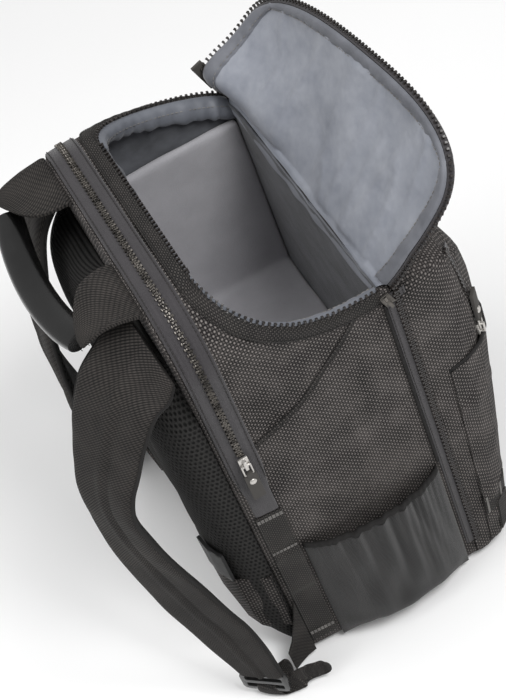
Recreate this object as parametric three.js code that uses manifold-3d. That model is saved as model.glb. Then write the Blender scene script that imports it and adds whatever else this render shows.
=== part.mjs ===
// Camera backpack with its top lid open and folded forward, standing on its base.
// Millimetres. x runs across the bag, y from its front (-) to its back (+), z up.
// The origin is in the middle of the base.
import * as THREE from 'three';
import { mergeVertices } from 'three/addons/utils/BufferGeometryUtils.js';
import Module from 'manifold-3d';

const wasm = await Module();
wasm.setup();

// Driving dimensions
const CLEAR = 0.35;
// Gap under a strip that lies on the rounded cloth
const SEAT = 0.8;
const BAG = { width: 296, height: 445, topCorner: 60, baseCorner: 14, sideBulge: 3 };
const MAIN = { front: -78, back: 80, wall: 7, lining: 1.5 };
const MOUTH = { hinge: 377, backEdge: 55 };
// The mouth's edge at stations across the bag: how late and how fast it rises to the back
const MOUTH_RIMS = [
  { side: -1.4, power: 2.5, curve: 0.8 },
  { side: -1, power: 2.5, curve: 0.8 },
  { side: 1, power: 0.75, curve: 0.68 },
  { side: 1.4, power: 0.75, curve: 0.68 },
];
const MOUTH_TRIM = { start: 9, tape: 9, tapeThick: 1.3, chain: 4.5, chainHigh: 3, border: 13, borderThick: 2.4 };
const INSERT = { wall: 8, floor: 170, top: 360 };
const LID = {
  lean: 36.6, height: 130, widest: 157, widestAt: 67, round: 2.8, curl: 6, padding: 5, lining: 1.6,
  drift: -0.18, tilt: -0.12, farBulge: 28, bulgeAt: 0.14, flap: 17, flapHalf: 128,
};
const FRONT = { depth: 79, height: 377, wall: 3.5, upperCorner: 12, roundCorner: 42 };
const POCKET = { top: 254, bottom: 16, thick: 2.6, fullness: 5 };
const FRONT_TAPE = { y: -80, width: 18, thick: 1.3, foot: 16 };
const PIPING = { size: 2.4, foot: 158, top: 365 };
const FRONT_POCKET_ZIP = { reach: 0.8, foot: 272, top: 366 };
const CHAIN = { width: 6, thick: 2.2 };
const BAND = { y: 80, width: 27, thick: 1.6, foot: 214, sliderHeight: 296 };
const WEBBING = { width: 24, thick: 2, foot: 20, loopTop: 153, loopFoot: 104, loopLift: 2.5 };
const BACK = { y: 97, wall: 3.5, ledge: 8 };
const PAD = { inner: 14, outer: 138, foot: 10, top: 392, depth: 36, edge: 2 };
const SLOT = { rows: 3, thick: 2, tipThick: 3 };
const GRIP = { half: 82, height: 427, back: 145, reach: 11, droop: 8, wide: 27, thick: 17 };
const ANCHOR = { inner: 42, outer: 108, thick: 3, tip: 13 };
const STRAP = { thick: 11, edge: 2.2, reach: 100, width: 80 };
const LOCK = { width: 44, length: 26, thick: 5, bar: 4.5 };
const LOWER = { width: 25, thick: 1.8, endLength: 26, folds: 3, foldDepth: 5 };
const LOWER_END = new THREE.Vector3(-19, -5, 0);
const GUSSET = { top: 86, foot: 5, y: 92.6, reach: 25, out: 8, thick: 2.2 };
const SIDE_POCKET = {
  front: -67, back: 64, foot: 7, top: 145, mouth: 13, belly: 20, bellyAt: 0.16, endRise: 5, thick: 1.6,
};
const GATHERS = { count: 6, deep: 1.5 };
const BINDING = { width: 6.5, thick: 3 };
const LASH = { z: 70, width: 24, thick: 2.2, from: 0.3, to: 0.78, tabWidth: 19, tabDrop: 40, tabLift: 4 };
const PULL = {
  bodyLong: 12, bodyWide: 8.5, bodyThick: 2.4, bridgeWide: 2.8, bridgeHigh: 2.8, bridgeWall: 1.4,
  wire: 1.4, linkWide: 9, linkLong: 12, tabWide: 11, tabLong: 30, tabThick: 2, neckWide: 5.4,
};
const ARC_STEPS = { top: 5, base: 3 };

const COLOURS = {
  weave: { color: 0x3c3936, roughness: 0.86, metalness: 0 },
  tape: { color: 0x464244, roughness: 0.7, metalness: 0 },
  lining: { color: 0x8c8f96, roughness: 0.75, metalness: 0 },
  border: { color: 0x9da1a9, roughness: 0.75, metalness: 0 },
  padGrey: { color: 0xa4a6aa, roughness: 0.85, metalness: 0 },
  teeth: { color: 0x2b2827, roughness: 0.45, metalness: 0 },
  mesh: { color: 0x3b3938, roughness: 0.9, metalness: 0 },
  padMesh: { color: 0x232223, roughness: 0.92, metalness: 0 },
  leather: { color: 0x151414, roughness: 0.32, metalness: 0 },
  nickel: { color: 0x8f8f92, roughness: 0.3, metalness: 1 },
  plastic: { color: 0x1a1a1b, roughness: 0.4, metalness: 0 },
};

const bag = new THREE.Group();
const vec = (x, y, z) => new THREE.Vector3(x, y, z);
const range = (n) => Array.from({ length: n }, (_, i) => i);
const mix = THREE.MathUtils.lerp;
const radians = THREE.MathUtils.degToRad;

// Closed mesh helpers

// Triangles facing out, whichever way the rows were given
function bodyFrom(points, triangles) {
  let volume = 0;
  for (const [a, b, c] of triangles) {
    volume += points[a].dot(points[b].clone().cross(points[c]));
  }
  const facing = volume < 0 ? triangles.map(([a, b, c]) => [a, c, b]) : triangles;
  const geometry = new THREE.BufferGeometry();
  geometry.setAttribute('position', new THREE.Float32BufferAttribute(points.flatMap((p) => [p.x, p.y, p.z]), 3));
  geometry.setIndex(facing.flat());
  return geometry;
}

// Body through a row of rings with equal counts, closed at both ends
function loft(rings) {
  const count = rings[0].length;
  const points = rings.flat();
  const triangles = [];
  for (const r of range(rings.length - 1)) {
    for (const i of range(count)) {
      const next = (i + 1) % count;
      const [a, b] = [r * count + i, r * count + next];
      const [c, d] = [a + count, b + count];
      triangles.push([a, b, d], [a, d, c]);
    }
  }
  for (const [start, flip] of [[0, true], [(rings.length - 1) * count, false]]) {
    const ring = points.slice(start, start + count);
    const middle = ring.reduce((sum, p) => sum.add(p), vec(0, 0, 0)).divideScalar(count);
    const centre = points.push(middle) - 1;
    for (const i of range(count)) {
      const [a, b] = [start + i, start + ((i + 1) % count)];
      triangles.push(flip ? [b, a, centre] : [a, b, centre]);
    }
  }
  return bodyFrom(points, triangles);
}

// Body between two sheets of points of the same size
function between(lower, upper) {
  const rows = lower.length;
  const columns = lower[0].length;
  const points = [...lower.flat(), ...upper.flat()];
  const lift = rows * columns;
  const at = (i, j) => i * columns + j;
  const triangles = [];
  const quad = (a, b, c, d) => triangles.push([a, b, c], [a, c, d]);
  for (const i of range(rows - 1)) {
    for (const j of range(columns - 1)) {
      quad(at(i, j), at(i, j + 1), at(i + 1, j + 1), at(i + 1, j));
      quad(lift + at(i, j), lift + at(i + 1, j), lift + at(i + 1, j + 1), lift + at(i, j + 1));
    }
    quad(at(i + 1, 0), lift + at(i + 1, 0), lift + at(i, 0), at(i, 0));
    const last = columns - 1;
    quad(at(i, last), lift + at(i, last), lift + at(i + 1, last), at(i + 1, last));
  }
  for (const j of range(columns - 1)) {
    quad(at(0, j), lift + at(0, j), lift + at(0, j + 1), at(0, j + 1));
    const last = rows - 1;
    quad(at(last, j + 1), lift + at(last, j + 1), lift + at(last, j), at(last, j));
  }
  return bodyFrom(points, triangles);
}

// Sheet moved along its own normals by amount(row share, column share)
function raise(sheet, amount) {
  const rows = sheet.length - 1;
  const columns = sheet[0].length - 1;
  return sheet.map((row, i) => row.map((point, j) => {
    const along = sheet[Math.min(i + 1, rows)][j].clone().sub(sheet[Math.max(i - 1, 0)][j]);
    const across = sheet[i][Math.min(j + 1, columns)].clone().sub(sheet[i][Math.max(j - 1, 0)]);
    const normal = along.cross(across).normalize();
    return point.clone().addScaledVector(normal, amount(i / rows, j / columns));
  }));
}

const even = (thick) => () => thick;
const pairNames = ['near', 'far'];

function toSolid(geometry) {
  const plain = geometry.clone();
  for (const name of Object.keys(plain.attributes)) {
    if (name !== 'position') plain.deleteAttribute(name);
  }
  const merged = mergeVertices(plain, 1e-3);
  return new wasm.Manifold(new wasm.Mesh({
    numProp: 3,
    vertProperties: new Float32Array(merged.attributes.position.array),
    triVerts: new Uint32Array(merged.index.array),
  }));
}

function toGeometry(solid) {
  const mesh = solid.getMesh();
  const geometry = new THREE.BufferGeometry();
  const positions = [];
  for (const v of range(mesh.vertProperties.length / mesh.numProp)) {
    positions.push(...mesh.vertProperties.slice(v * mesh.numProp, v * mesh.numProp + 3));
  }
  geometry.setAttribute('position', new THREE.Float32BufferAttribute(positions, 3));
  geometry.setIndex([...mesh.triVerts]);
  return geometry;
}

const cut = (whole, ...tools) => toGeometry(tools.reduce((left, tool) => left.subtract(toSolid(tool)), toSolid(whole)));
const join = (...parts) => toGeometry(parts.map(toSolid).reduce((sum, part) => sum.add(part)));
const meet = (a, b) => toGeometry(toSolid(a).intersect(toSolid(b)));

function block(x0, x1, y0, y1, z0, z1) {
  const geometry = new THREE.BoxGeometry(x1 - x0, y1 - y0, z1 - z0);
  geometry.translate((x0 + x1) / 2, (y0 + y1) / 2, (z0 + z1) / 2);
  return geometry;
}

function add(name, geometry, colour) {
  const mesh = new THREE.Mesh(geometry, new THREE.MeshStandardMaterial(COLOURS[colour]));
  mesh.name = name;
  bag.add(mesh);
}

const mirrored = (points) => points.map((row) => row.map((p) => vec(-p.x, p.y, p.z)));

// Outline of the bag seen from the front

const halfAt = (y) => BAG.width / 2 - BAG.sideBulge * (y / MAIN.back) ** 2;

// Arc points about a centre, from one angle to another, in degrees
function arc(x, z, radius, from, to, steps) {
  return range(steps + 1).map((i) => {
    const angle = radians(mix(from, to, i / steps));
    return [x + radius * Math.cos(angle), z + radius * Math.sin(angle)];
  });
}

// Closed rounded outline, clockwise from the near lower corner
function outline({ half, base, top, topCorner, baseCorner, levels = [] }) {
  const sides = levels.map((share) => mix(base + baseCorner, top - topCorner, share));
  return [
    ...arc(-half + baseCorner, base + baseCorner, baseCorner, 270, 180, ARC_STEPS.base),
    ...sides.map((z) => [-half, z]),
    ...arc(-half + topCorner, top - topCorner, topCorner, 180, 90, ARC_STEPS.top),
    ...arc(half - topCorner, top - topCorner, topCorner, 90, 0, ARC_STEPS.top),
    ...sides.toReversed().map((z) => [half, z]),
    ...arc(half - baseCorner, base + baseCorner, baseCorner, 360, 270, ARC_STEPS.base),
  ];
}

function bagRing(y, inset) {
  return outline({
    half: halfAt(y) - inset,
    base: inset,
    top: BAG.height - inset,
    topCorner: BAG.topCorner - inset,
    baseCorner: Math.max(BAG.baseCorner - inset, 4),
  }).map(([x, z]) => vec(x, y, z));
}

// Solid of the bag's outline between two depths, with sections at fixed stations
function bagBlock(y0, y1, inset) {
  const stations = range(11).map((i) => -200 + 40 * i).filter((y) => y > y0 + 1 && y < y1 - 1);
  return loft([y0, ...stations, y1].map((y) => bagRing(y, inset)));
}

// Layer of the bag's outline, between two insets
function bagLayer(y0, y1, outer, inner) {
  return cut(bagBlock(y0, y1, outer), bagBlock(y0 - 5, y1 + 5, inner));
}

// Main compartment and its mouth

// Height of the mouth's edge at a depth
// Line of the mouth's edge on one side, moved into the cloth by a distance
function rimLine({ power, curve }, deeper) {
  const steps = 8;
  const start = MAIN.front + MOUTH_TRIM.start;
  const edge = range(steps + 1).map((i) => {
    const share = 1 - (1 - i / steps) ** 1.5;
    const rise = 1 - (1 - share ** power) ** curve;
    return [mix(start, MOUTH.backEdge, share), mix(MOUTH.hinge, BAG.height, rise)];
  });
  const moved = edge.map(([y, z], i) => {
    const [before, after] = [edge[Math.max(i - 1, 0)], edge[Math.min(i + 1, steps)]];
    const slope = [after[0] - before[0], after[1] - before[1]];
    const [dy, dz] = { 0: [1, 0], [steps]: [0, 1] }[i] ?? slope;
    const long = Math.hypot(dy, dz);
    return [y + deeper * dz / long, z - deeper * dy / long];
  });
  return [[MAIN.front - 40, moved[0][1]], ...moved];
}

// Everything above the mouth's edge, with the edge moved into the cloth by a distance
function mouthCutter(deeper) {
  const lines = MOUTH_RIMS.map((rim) => rimLine(rim, deeper));
  const lower = lines[0].map((point, i) => MOUTH_RIMS.map(({ side }, k) => {
    const [y, z] = lines[k][i];
    return vec(side * BAG.width / 2, y, z);
  }));
  const upper = lower.map((row) => row.map((p) => vec(p.x, p.y, BAG.height + 60)));
  return between(lower, upper);
}

// Ring that follows the mouth's edge: a layer of the bag between two heights over the edge
function rimRing(outer, inner, above, below) {
  const band = cut(mouthCutter(below), mouthCutter(-above));
  const layer = bagLayer(MAIN.front + MOUTH_TRIM.start, MAIN.back, outer, inner);
  return meet(layer, band);
}

function buildMain() {
  const skin = bagBlock(MAIN.front, MAIN.back, 0);
  const hollow = bagBlock(MAIN.front + MAIN.wall, MAIN.back - MAIN.wall, MAIN.wall);
  add('main_shell', cut(skin, hollow, mouthCutter(0)), 'weave');
  const inset = MAIN.wall + CLEAR;
  const cup = bagBlock(MAIN.front + inset, MAIN.back - inset, inset);
  const deeper = inset + MAIN.lining;
  const room = bagBlock(MAIN.front + deeper, MAIN.back - deeper, deeper);
  add('main_lining', cut(cup, room, mouthCutter(0)), 'lining');

  const trayInset = deeper + CLEAR;
  const tray = meet(
    bagBlock(MAIN.front + trayInset, MAIN.back - trayInset, trayInset),
    block(-BAG.width, BAG.width, MAIN.front, MAIN.back, INSERT.floor, INSERT.top),
  );
  const well = trayInset + INSERT.wall;
  const space = meet(
    bagBlock(MAIN.front - 1, MAIN.back - well, well),
    block(-BAG.width, BAG.width, MAIN.front - 2, MAIN.back, INSERT.floor + INSERT.wall, BAG.height),
  );
  add('padded_insert', cut(tray, space), 'padGrey');
}

function buildMouthTrim() {
  const t = MOUTH_TRIM;
  add('mouth_tape', rimRing(-CLEAR - t.tapeThick, -CLEAR, -0.6, t.tape), 'tape');
  add('mouth_chain', rimRing(0, t.chain, CLEAR + t.chainHigh, -CLEAR), 'teeth');
  const inside = MAIN.wall + MAIN.lining + 2 * CLEAR;
  const over = rimRing(t.chain + CLEAR, inside + t.borderThick, CLEAR + t.borderThick, -CLEAR);
  const down = rimRing(inside, inside + t.borderThick, CLEAR + t.borderThick, t.border);
  add('mouth_border', join(over, down), 'border');
}

// Lid, a padded D folded forward at the straight line between the mouth's ends

// Half outline from the fold's end to the middle of the free edge: [across, up]
function lidHalf() {
  const half = BAG.width / 2 - 4;
  const power = 2 / LID.round;
  const side = range(4).map((i) => {
    const share = i / 4;
    return [mix(half, LID.widest, 1 - (1 - share) ** 2), LID.widestAt * share];
  });
  const round = range(15).map((i) => {
    const angle = radians(90 * (i / 14));
    return [
      LID.widest * Math.cos(angle) ** power,
      LID.widestAt + (LID.height - LID.widestAt) * Math.sin(angle) ** power,
    ];
  });
  return [...side, ...round];
}

// Point a share of the way along a line of [across, up] points
function alongLine(line, share) {
  const steps = line.slice(1).map(([x, y], i) => Math.hypot(x - line[i][0], y - line[i][1]));
  let left = share * steps.reduce((a, b) => a + b, 0);
  let i = 0;
  while (i < steps.length - 1 && left > steps[i]) {
    left -= steps[i];
    i += 1;
  }
  const part = Math.min(left / steps[i], 1);
  return [mix(line[i][0], line[i + 1][0], part), mix(line[i][1], line[i + 1][1], part)];
}

// Sheet of the lid's lining face, between its fold, its two sides and its free edge
function lidSheet(rows = 8, columns = 12) {
  const half = lidHalf();
  const corner = 9;
  const side = half.slice(0, corner + 1);
  const top = [...half.slice(corner), ...half.slice(corner, -1).toReversed().map(([x, y]) => [-x, y])];
  const lean = radians(LID.lean);
  const up = vec(0, -Math.sin(lean), Math.cos(lean));
  const face = vec(0, Math.cos(lean), Math.sin(lean));
  const under = LID.padding + CLEAR;
  const origin = vec(0, MAIN.front, FRONT.height + CLEAR + under * Math.sin(lean) + 0.5);
  return range(rows + 1).map((i) => {
    const v = i / rows;
    const [right, rise] = alongLine(side, v);
    return range(columns + 1).map((j) => {
      const u = j / columns;
      const foldX = mix(-half[0][0], half[0][0], u);
      const [topX, topUp] = alongLine(top, 1 - u);
      const [cornerX, cornerUp] = side.at(-1);
      const x = mix(foldX, topX, v) + mix(-right, right, u) - mix(foldX, mix(-cornerX, cornerX, u), v);
      const q = topUp * v + rise - cornerUp * v;
      const edge = 1 - (1 - Math.abs(2 * u - 1) ** 8 * Math.min(1, 3 * v)) * (1 - v ** 8);
      const far = Math.max(0, 2 * u - 1) ** 2 * (v / LID.bulgeAt) * Math.exp(1 - v / LID.bulgeAt);
      return origin.clone()
        .addScaledVector(vec(1, 0, 0), x + LID.drift * q)
        .addScaledVector(up, q * (1 + LID.tilt * x / (BAG.width / 2)))
        .addScaledVector(face, LID.curl * edge + LID.farBulge * far);
    });
  });
}

// Lines round the lid's free edge, one sheet row or column after another
function lidEdge(sheet) {
  const last = sheet[0].length - 1;
  const near = sheet.map((row) => row[0]);
  const far = sheet.map((row) => row[last]).toReversed();
  return [...near, ...sheet.at(-1).slice(1, last), ...far];
}

function buildLid() {
  const sheet = lidSheet();
  const under = raise(sheet, even(-CLEAR));
  const back = raise(sheet, even(-CLEAR - LID.padding));
  const inside = MAIN.front + MAIN.wall + MAIN.lining + 2 * CLEAR + 0.2;
  const flap = [LID.flap, LID.flap / 2, 0].map((drop) => sheet[0].map((p, j) => {
    const u = 2 * j / (sheet[0].length - 1) - 1;
    const sag = drop * (0.7 + 0.3 * (1 - u ** 4));
    return vec(p.x * LID.flapHalf / (BAG.width / 2 - 4), inside, FRONT.height + 2 - sag);
  }));
  const lining = [...flap, ...sheet];
  const face = raise(lining, even(LID.lining));
  add('lid_lining', between(lining, face), 'lining');
  add('lid_panel', between(under, back), 'weave');
  const edge = lidEdge(sheet);
  const under2 = lidEdge(raise(sheet, even(-CLEAR - LID.padding / 2)));
  const middle = sheet[Math.floor(sheet.length / 2)][Math.floor(sheet[0].length / 2)];
  const rings = edge.map((point, i) => {
    const tangent = edge[Math.min(i + 1, edge.length - 1)].clone().sub(edge[Math.max(i - 1, 0)]).normalize();
    const depth = under2[i].clone().sub(point).normalize();
    const out = tangent.clone().cross(depth).normalize();
    if (out.dot(point.clone().sub(middle)) < 0) out.negate();
    const t = MOUTH_TRIM;
    return [[SEAT, 0], [SEAT + t.chainHigh, 0], [SEAT + t.chainHigh, t.chain], [SEAT, t.chain]]
      .map(([away, down]) => point.clone().addScaledVector(out, away).addScaledVector(depth, down));
  });
  add('lid_chain', loft(rings), 'teeth');
}

// Front compartment

// Sections from the zip to the front face: share of the depth, rounding of the edge
const FRONT_SECTIONS = [
  { reach: 0, inset: 0, corner: 0 },
  { reach: 0.28, inset: 0.5, corner: 0.4 },
  { reach: 0.52, inset: 4, corner: 0.75 },
  { reach: 0.72, inset: 12, corner: 1 },
  { reach: 0.87, inset: 26, corner: 1 },
  { reach: 0.96, inset: 48, corner: 1 },
  { reach: 1, inset: 86, corner: 0.9 },
];
// How deep the compartment is at each share of its height
const FRONT_PROFILE = [
  { rise: 0, depth: 0.42 }, { rise: 0.06, depth: 0.55 }, { rise: 0.16, depth: 0.62 },
  { rise: 0.3, depth: 0.72 }, { rise: 0.45, depth: 0.82 }, { rise: 0.6, depth: 0.9 },
  { rise: 0.74, depth: 1 }, { rise: 0.84, depth: 0.98 }, { rise: 0.94, depth: 0.9 }, { rise: 1, depth: 0.84 },
];

function frontDepth(z) {
  const rise = THREE.MathUtils.clamp(z / FRONT.height, 0, 1);
  const i = Math.max(FRONT_PROFILE.findIndex((row) => row.rise >= rise), 1);
  const [a, b] = [FRONT_PROFILE[i - 1], FRONT_PROFILE[i]];
  return FRONT.depth * mix(a.depth, b.depth, (rise - a.rise) / (b.rise - a.rise));
}

function frontRing({ reach, inset, corner }, start, grow, deeper) {
  const half = halfAt(MAIN.front) - inset + grow;
  const base = Math.max(inset - grow, grow > 0 ? 0.2 : 0);
  return outline({
    half,
    base,
    top: FRONT.height - inset + grow,
    topCorner: mix(FRONT.upperCorner, FRONT.roundCorner, corner),
    baseCorner: BAG.baseCorner + inset * 0.4,
    levels: [0.18, 0.4, 0.6, 0.8],
  }).map(([x, z]) => vec(x, start - reach * (frontDepth(z) + deeper), z));
}

const FRONT_START = MAIN.front - CLEAR;

const frontBody = (start, grow, deeper, every = 1) => loft(
  FRONT_SECTIONS.filter((row, i) => i % every === 0).map((row) => frontRing(row, start, grow, deeper)),
);

function buildFront() {
  const skin = frontBody(FRONT_START, 0, 0);
  const hollow = frontBody(FRONT_START + 1, -FRONT.wall, -FRONT.wall - 1, 2);
  add('front_compartment', cut(skin, hollow), 'weave');

  const reach = FRONT.depth + POCKET.fullness + 20;
  const outer = frontBody(FRONT_START, POCKET.thick + CLEAR, POCKET.fullness + POCKET.thick);
  const inner = frontBody(FRONT_START, CLEAR, POCKET.fullness);
  const zone = block(-BAG.width, BAG.width, FRONT_START - reach, FRONT_START - 0.3 * FRONT.depth, POCKET.bottom, POCKET.top);
  add('front_pocket', cut(meet(outer, zone), inner), 'weave');
}

// Straight runs of zip on both sides of the front, and the back zip over the top

// Half width beside the front zip, where the front compartment meets the bag
const frontHalf = (y) => halfAt(Math.max(y, MAIN.front));

const sideLine = (y, foot, top) => range(9).map((i) => {
  const z = mix(top, foot, i / 8);
  return vec(-halfAt(y), y, z);
});

function buildFrontZip() {
  const t = FRONT_TAPE;
  for (const side of pairNames) {
    const flip = side === 'near' ? (p) => p : (p) => vec(-p.x, p.y, p.z);
    const line = sideLine(t.y, t.foot + BAG.baseCorner, MOUTH.hinge - 3);
    const strip = (from, to, out, thick) => [out, out + thick].map((lift) => line.map((p) => [from, to].map((dy) => {
      const moved = vec(p.x, p.y + dy, p.z);
      return flip(vec(-frontHalf(moved.y) - lift, moved.y, moved.z));
    })));
    add(`front_zip_tape_${side}`, between(...strip(-t.width / 2, t.width / 2, CLEAR, t.thick)), 'tape');
    const over = 2 * CLEAR + t.thick;
    const chain = between(...strip(-CHAIN.width / 2 - 1, CHAIN.width / 2 - 1, over, CHAIN.thick));
    add(`front_zip_chain_${side}`, chain, 'teeth');
    const behind = t.width / 2 + CLEAR;
    const run = sideLine(line[0].y, PIPING.foot, PIPING.top);
    const cord = [CLEAR, CLEAR + PIPING.size].map((lift) => run.map((p) => [0, PIPING.size].map((dy) => {
      const y = p.y + behind + dy;
      return flip(vec(-halfAt(y) - lift, y, p.z));
    })));
    add(`front_piping_${side}`, between(...cord), 'tape');
  }
}

// Point of the front compartment's outer face at a share of its depth and a height
function frontPoint(reach, z, grow, deeper) {
  const i = Math.max(FRONT_SECTIONS.findIndex((row) => row.reach >= reach), 1);
  const [a, b] = [FRONT_SECTIONS[i - 1], FRONT_SECTIONS[i]];
  const inset = mix(a.inset, b.inset, (reach - a.reach) / (b.reach - a.reach));
  return vec(
    -halfAt(MAIN.front) + inset - grow,
    FRONT_START - reach * (frontDepth(z) + deeper),
    z,
  );
}

function buildFrontPocketZip() {
  const zip = FRONT_POCKET_ZIP;
  const sheet = range(8).map((i) => {
    const z = mix(zip.top, zip.foot, i / 7);
    return [-0.04, 0.04].map((d) => frontPoint(zip.reach + d, z, 0, 0));
  });
  const strip = [SEAT, SEAT + CHAIN.thick].map((lift) => raise(sheet, even(lift)));
  add('front_pocket_chain', between(...strip), 'teeth');
}

function buildLashLoops() {
  const grow = POCKET.thick + CLEAR;
  const deeper = POCKET.fullness + POCKET.thick;
  const reaches = [LASH.from, 0.4, 0.52, 0.62, 0.72, LASH.to];
  const sheet = reaches.map((reach) => [-0.5, 0.5].map((k) => (
    frontPoint(reach, LASH.z + k * LASH.width, grow, deeper)
  )));
  const tab = range(4).map((i) => [-0.5, 0.5].map((k) => {
    const z = LASH.z - LASH.width / 2 + 6 - LASH.tabDrop * i / 3;
    const point = frontPoint(0.62 + k * LASH.tabWidth / FRONT.depth, z, grow, deeper);
    return point;
  }));
  for (const side of pairNames) {
    const place = side === 'near' ? (rows) => rows : mirrored;
    const sign = side === 'near' ? 1 : -1;
    const band = between(...[SEAT, SEAT + LASH.thick].map((lift) => raise(place(sheet), even(sign * lift))));
    const over = SEAT + LASH.thick - 0.4;
    const end = between(...[over, over + LASH.thick].map((lift) => raise(place(tab), even(sign * lift))));
    add(`lash_loop_${side}`, join(band, end), 'tape');
  }
}

function buildBackZip() {
  const half = BAND.width / 2;
  const above = (z) => block(-BAG.width, BAG.width, 0, 2 * BAND.y, z, 2 * BAG.height);
  const tape = bagLayer(BAND.y - half, BAND.y + half, -CLEAR - BAND.thick, -CLEAR);
  add('back_zip_tape', meet(tape, above(BAND.foot)), 'tape');
  const over = 2 * CLEAR + BAND.thick;
  const chain = bagLayer(BAND.y - CHAIN.width / 2, BAND.y + CHAIN.width / 2, -over - CHAIN.thick, -over);
  add('back_zip_chain', meet(chain, above(BAND.sliderHeight)), 'teeth');
}

// Back panel, pads and slot pocket

function buildBack() {
  const y0 = MAIN.back + CLEAR;
  const rings = [
    { y: y0, inset: 0 }, { y: BACK.y - 5, inset: 0 }, { y: BACK.y - 1.5, inset: 2 }, { y: BACK.y, inset: BACK.ledge },
  ];
  const skin = loft(rings.map(({ y, inset }) => bagRing(y, inset)));
  const hollow = loft([y0 - 1, BACK.y - BACK.wall].map((y) => bagRing(y, BACK.wall + BACK.ledge)));
  add('back_panel', cut(skin, hollow), 'weave');
}

// Face of a back pad: across from its inner edge, up from its foot
function padSheet(rise) {
  return range(11).map((i) => {
    const v = i / 10;
    const z = mix(PAD.foot, PAD.top, v);
    const ends = (1 - Math.abs(2 * v - 1) ** 7) ** 0.6;
    return range(9).map((j) => {
      const u = j / 8;
      const shoulder = 26 * Math.max(0, v - 0.86) / 0.14;
      const x = -mix(PAD.inner, PAD.outer - shoulder, u);
      const dome = (1 - Math.abs(2 * u - 1) ** 3.2) ** 0.55;
      return vec(x, BACK.y + CLEAR + rise * (PAD.edge + PAD.depth * dome * ends), z);
    });
  });
}

function buildPads() {
  const [low, high] = [padSheet(0), padSheet(1)];
  add('back_pad_near', between(low, high), 'padMesh');
  add('back_pad_far', between(mirrored(low), mirrored(high)), 'padMesh');
  const patch = (rowFrom, rowTo, from, to, lift) => raise(
    high.slice(rowFrom, rowTo + 1).map((row) => row.slice(from, to + 1)),
    even(lift),
  );
  const sides = { near: (sheet) => sheet, far: mirrored };
  for (const side of pairNames) {
    const place = sides[side];
    const slot = [SEAT, SEAT + SLOT.thick].map((lift) => place(patch(0, SLOT.rows, 5, 8, -lift)));
    add(`slot_pocket_${side}`, between(...slot), 'weave');
    const tip = [SEAT, SEAT + SLOT.tipThick].map((lift) => {
      const sheet = patch(SLOT.rows, SLOT.rows + 1, 5, 7, -lift);
      const raised = sheet.map((row) => row.map((p) => p.clone().add(vec(0, 0, CLEAR))));
      return place(raised);
    });
    add(`belt_tip_${side}`, between(...tip), 'plastic');
  }
}

// Carry handle

function gripPath() {
  return range(11).map((i) => {
    const share = mix(-1, 1, i / 10);
    const bow = 1 - share ** 2;
    return vec(GRIP.half * share, GRIP.back + GRIP.reach * bow, GRIP.height - GRIP.droop * bow);
  });
}

function buildHandle() {
  const path = gripPath();
  const rings = path.map((point, i) => {
    const tangent = path[Math.min(i + 1, 10)].clone().sub(path[Math.max(i - 1, 0)]).normalize();
    const up = vec(0, 0, 1);
    const out = up.clone().cross(tangent).normalize();
    const rise = tangent.clone().cross(out);
    return range(10).map((k) => {
      const angle = (k / 10) * 2 * Math.PI;
      return point.clone()
        .addScaledVector(out, (GRIP.wide / 2) * Math.cos(angle))
        .addScaledVector(rise, (GRIP.thick / 2) * Math.sin(angle));
    });
  });
  add('handle_grip', loft(rings), 'leather');

  const rootY = BACK.y + CLEAR;
  const rows = [
    { out: 0, height: BAG.height - 6, from: ANCHOR.inner, to: ANCHOR.outer },
    { out: 0.25, height: BAG.height - 3, from: ANCHOR.inner, to: ANCHOR.outer - 3 },
    { out: 0.6, height: BAG.height - 4, from: ANCHOR.inner + 6, to: ANCHOR.outer - 6 },
    { out: 1, height: GRIP.height + 6, from: GRIP.half + 7, to: GRIP.half + 16 },
  ];
  const sheet = rows.map((row) => range(5).map((j) => {
    const x = mix(row.from, row.to, j / 4);
    return vec(-x, mix(rootY, GRIP.back + 2, row.out), row.height + CLEAR);
  }));
  const top = raise(sheet, even(ANCHOR.thick));
  add('handle_anchor_near', between(sheet, top), 'weave');
  add('handle_anchor_far', between(mirrored(sheet), mirrored(top)), 'weave');
}

// Shoulder straps: centre as shares of half the width, the strap's reach and the
// bag's height, the turn and dip of the width in degrees, and its share of the width
const NEAR_STRAP = [
  { across: 0.73, reach: 0.045, rise: 0.93, turn: 0, dip: 22, wide: 1 },
  { across: 0.79, reach: 0.25, rise: 0.91, turn: 22, dip: 14, wide: 1 },
  { across: 0.82, reach: 0.43, rise: 0.89, turn: 24, dip: 4, wide: 1 },
  { across: 0.83, reach: 0.6, rise: 0.834, turn: 22, dip: 0, wide: 1 },
  { across: 0.835, reach: 0.72, rise: 0.779, turn: 19, dip: 0, wide: 0.98 },
  { across: 0.84, reach: 0.82, rise: 0.732, turn: 16, dip: 0, wide: 0.94 },
  { across: 0.85, reach: 0.89, rise: 0.672, turn: 19, dip: 0, wide: 0.88 },
  { across: 0.87, reach: 0.89, rise: 0.591, turn: 28, dip: 0, wide: 0.84 },
  { across: 0.89, reach: 0.85, rise: 0.496, turn: 36, dip: 0, wide: 0.82 },
  { across: 0.915, reach: 0.78, rise: 0.41, turn: 42, dip: 0, wide: 0.8 },
  { across: 0.95, reach: 0.7, rise: 0.319, turn: 47, dip: 0, wide: 0.78 },
  { across: 0.99, reach: 0.62, rise: 0.25, turn: 50, dip: 0, wide: 0.76 },
  { across: 1.04, reach: 0.55, rise: 0.175, turn: 50, dip: 0, wide: 0.68 },
  { across: 1.08, reach: 0.48, rise: 0.083, turn: 50, dip: 0, wide: 0.5 },
];
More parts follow.
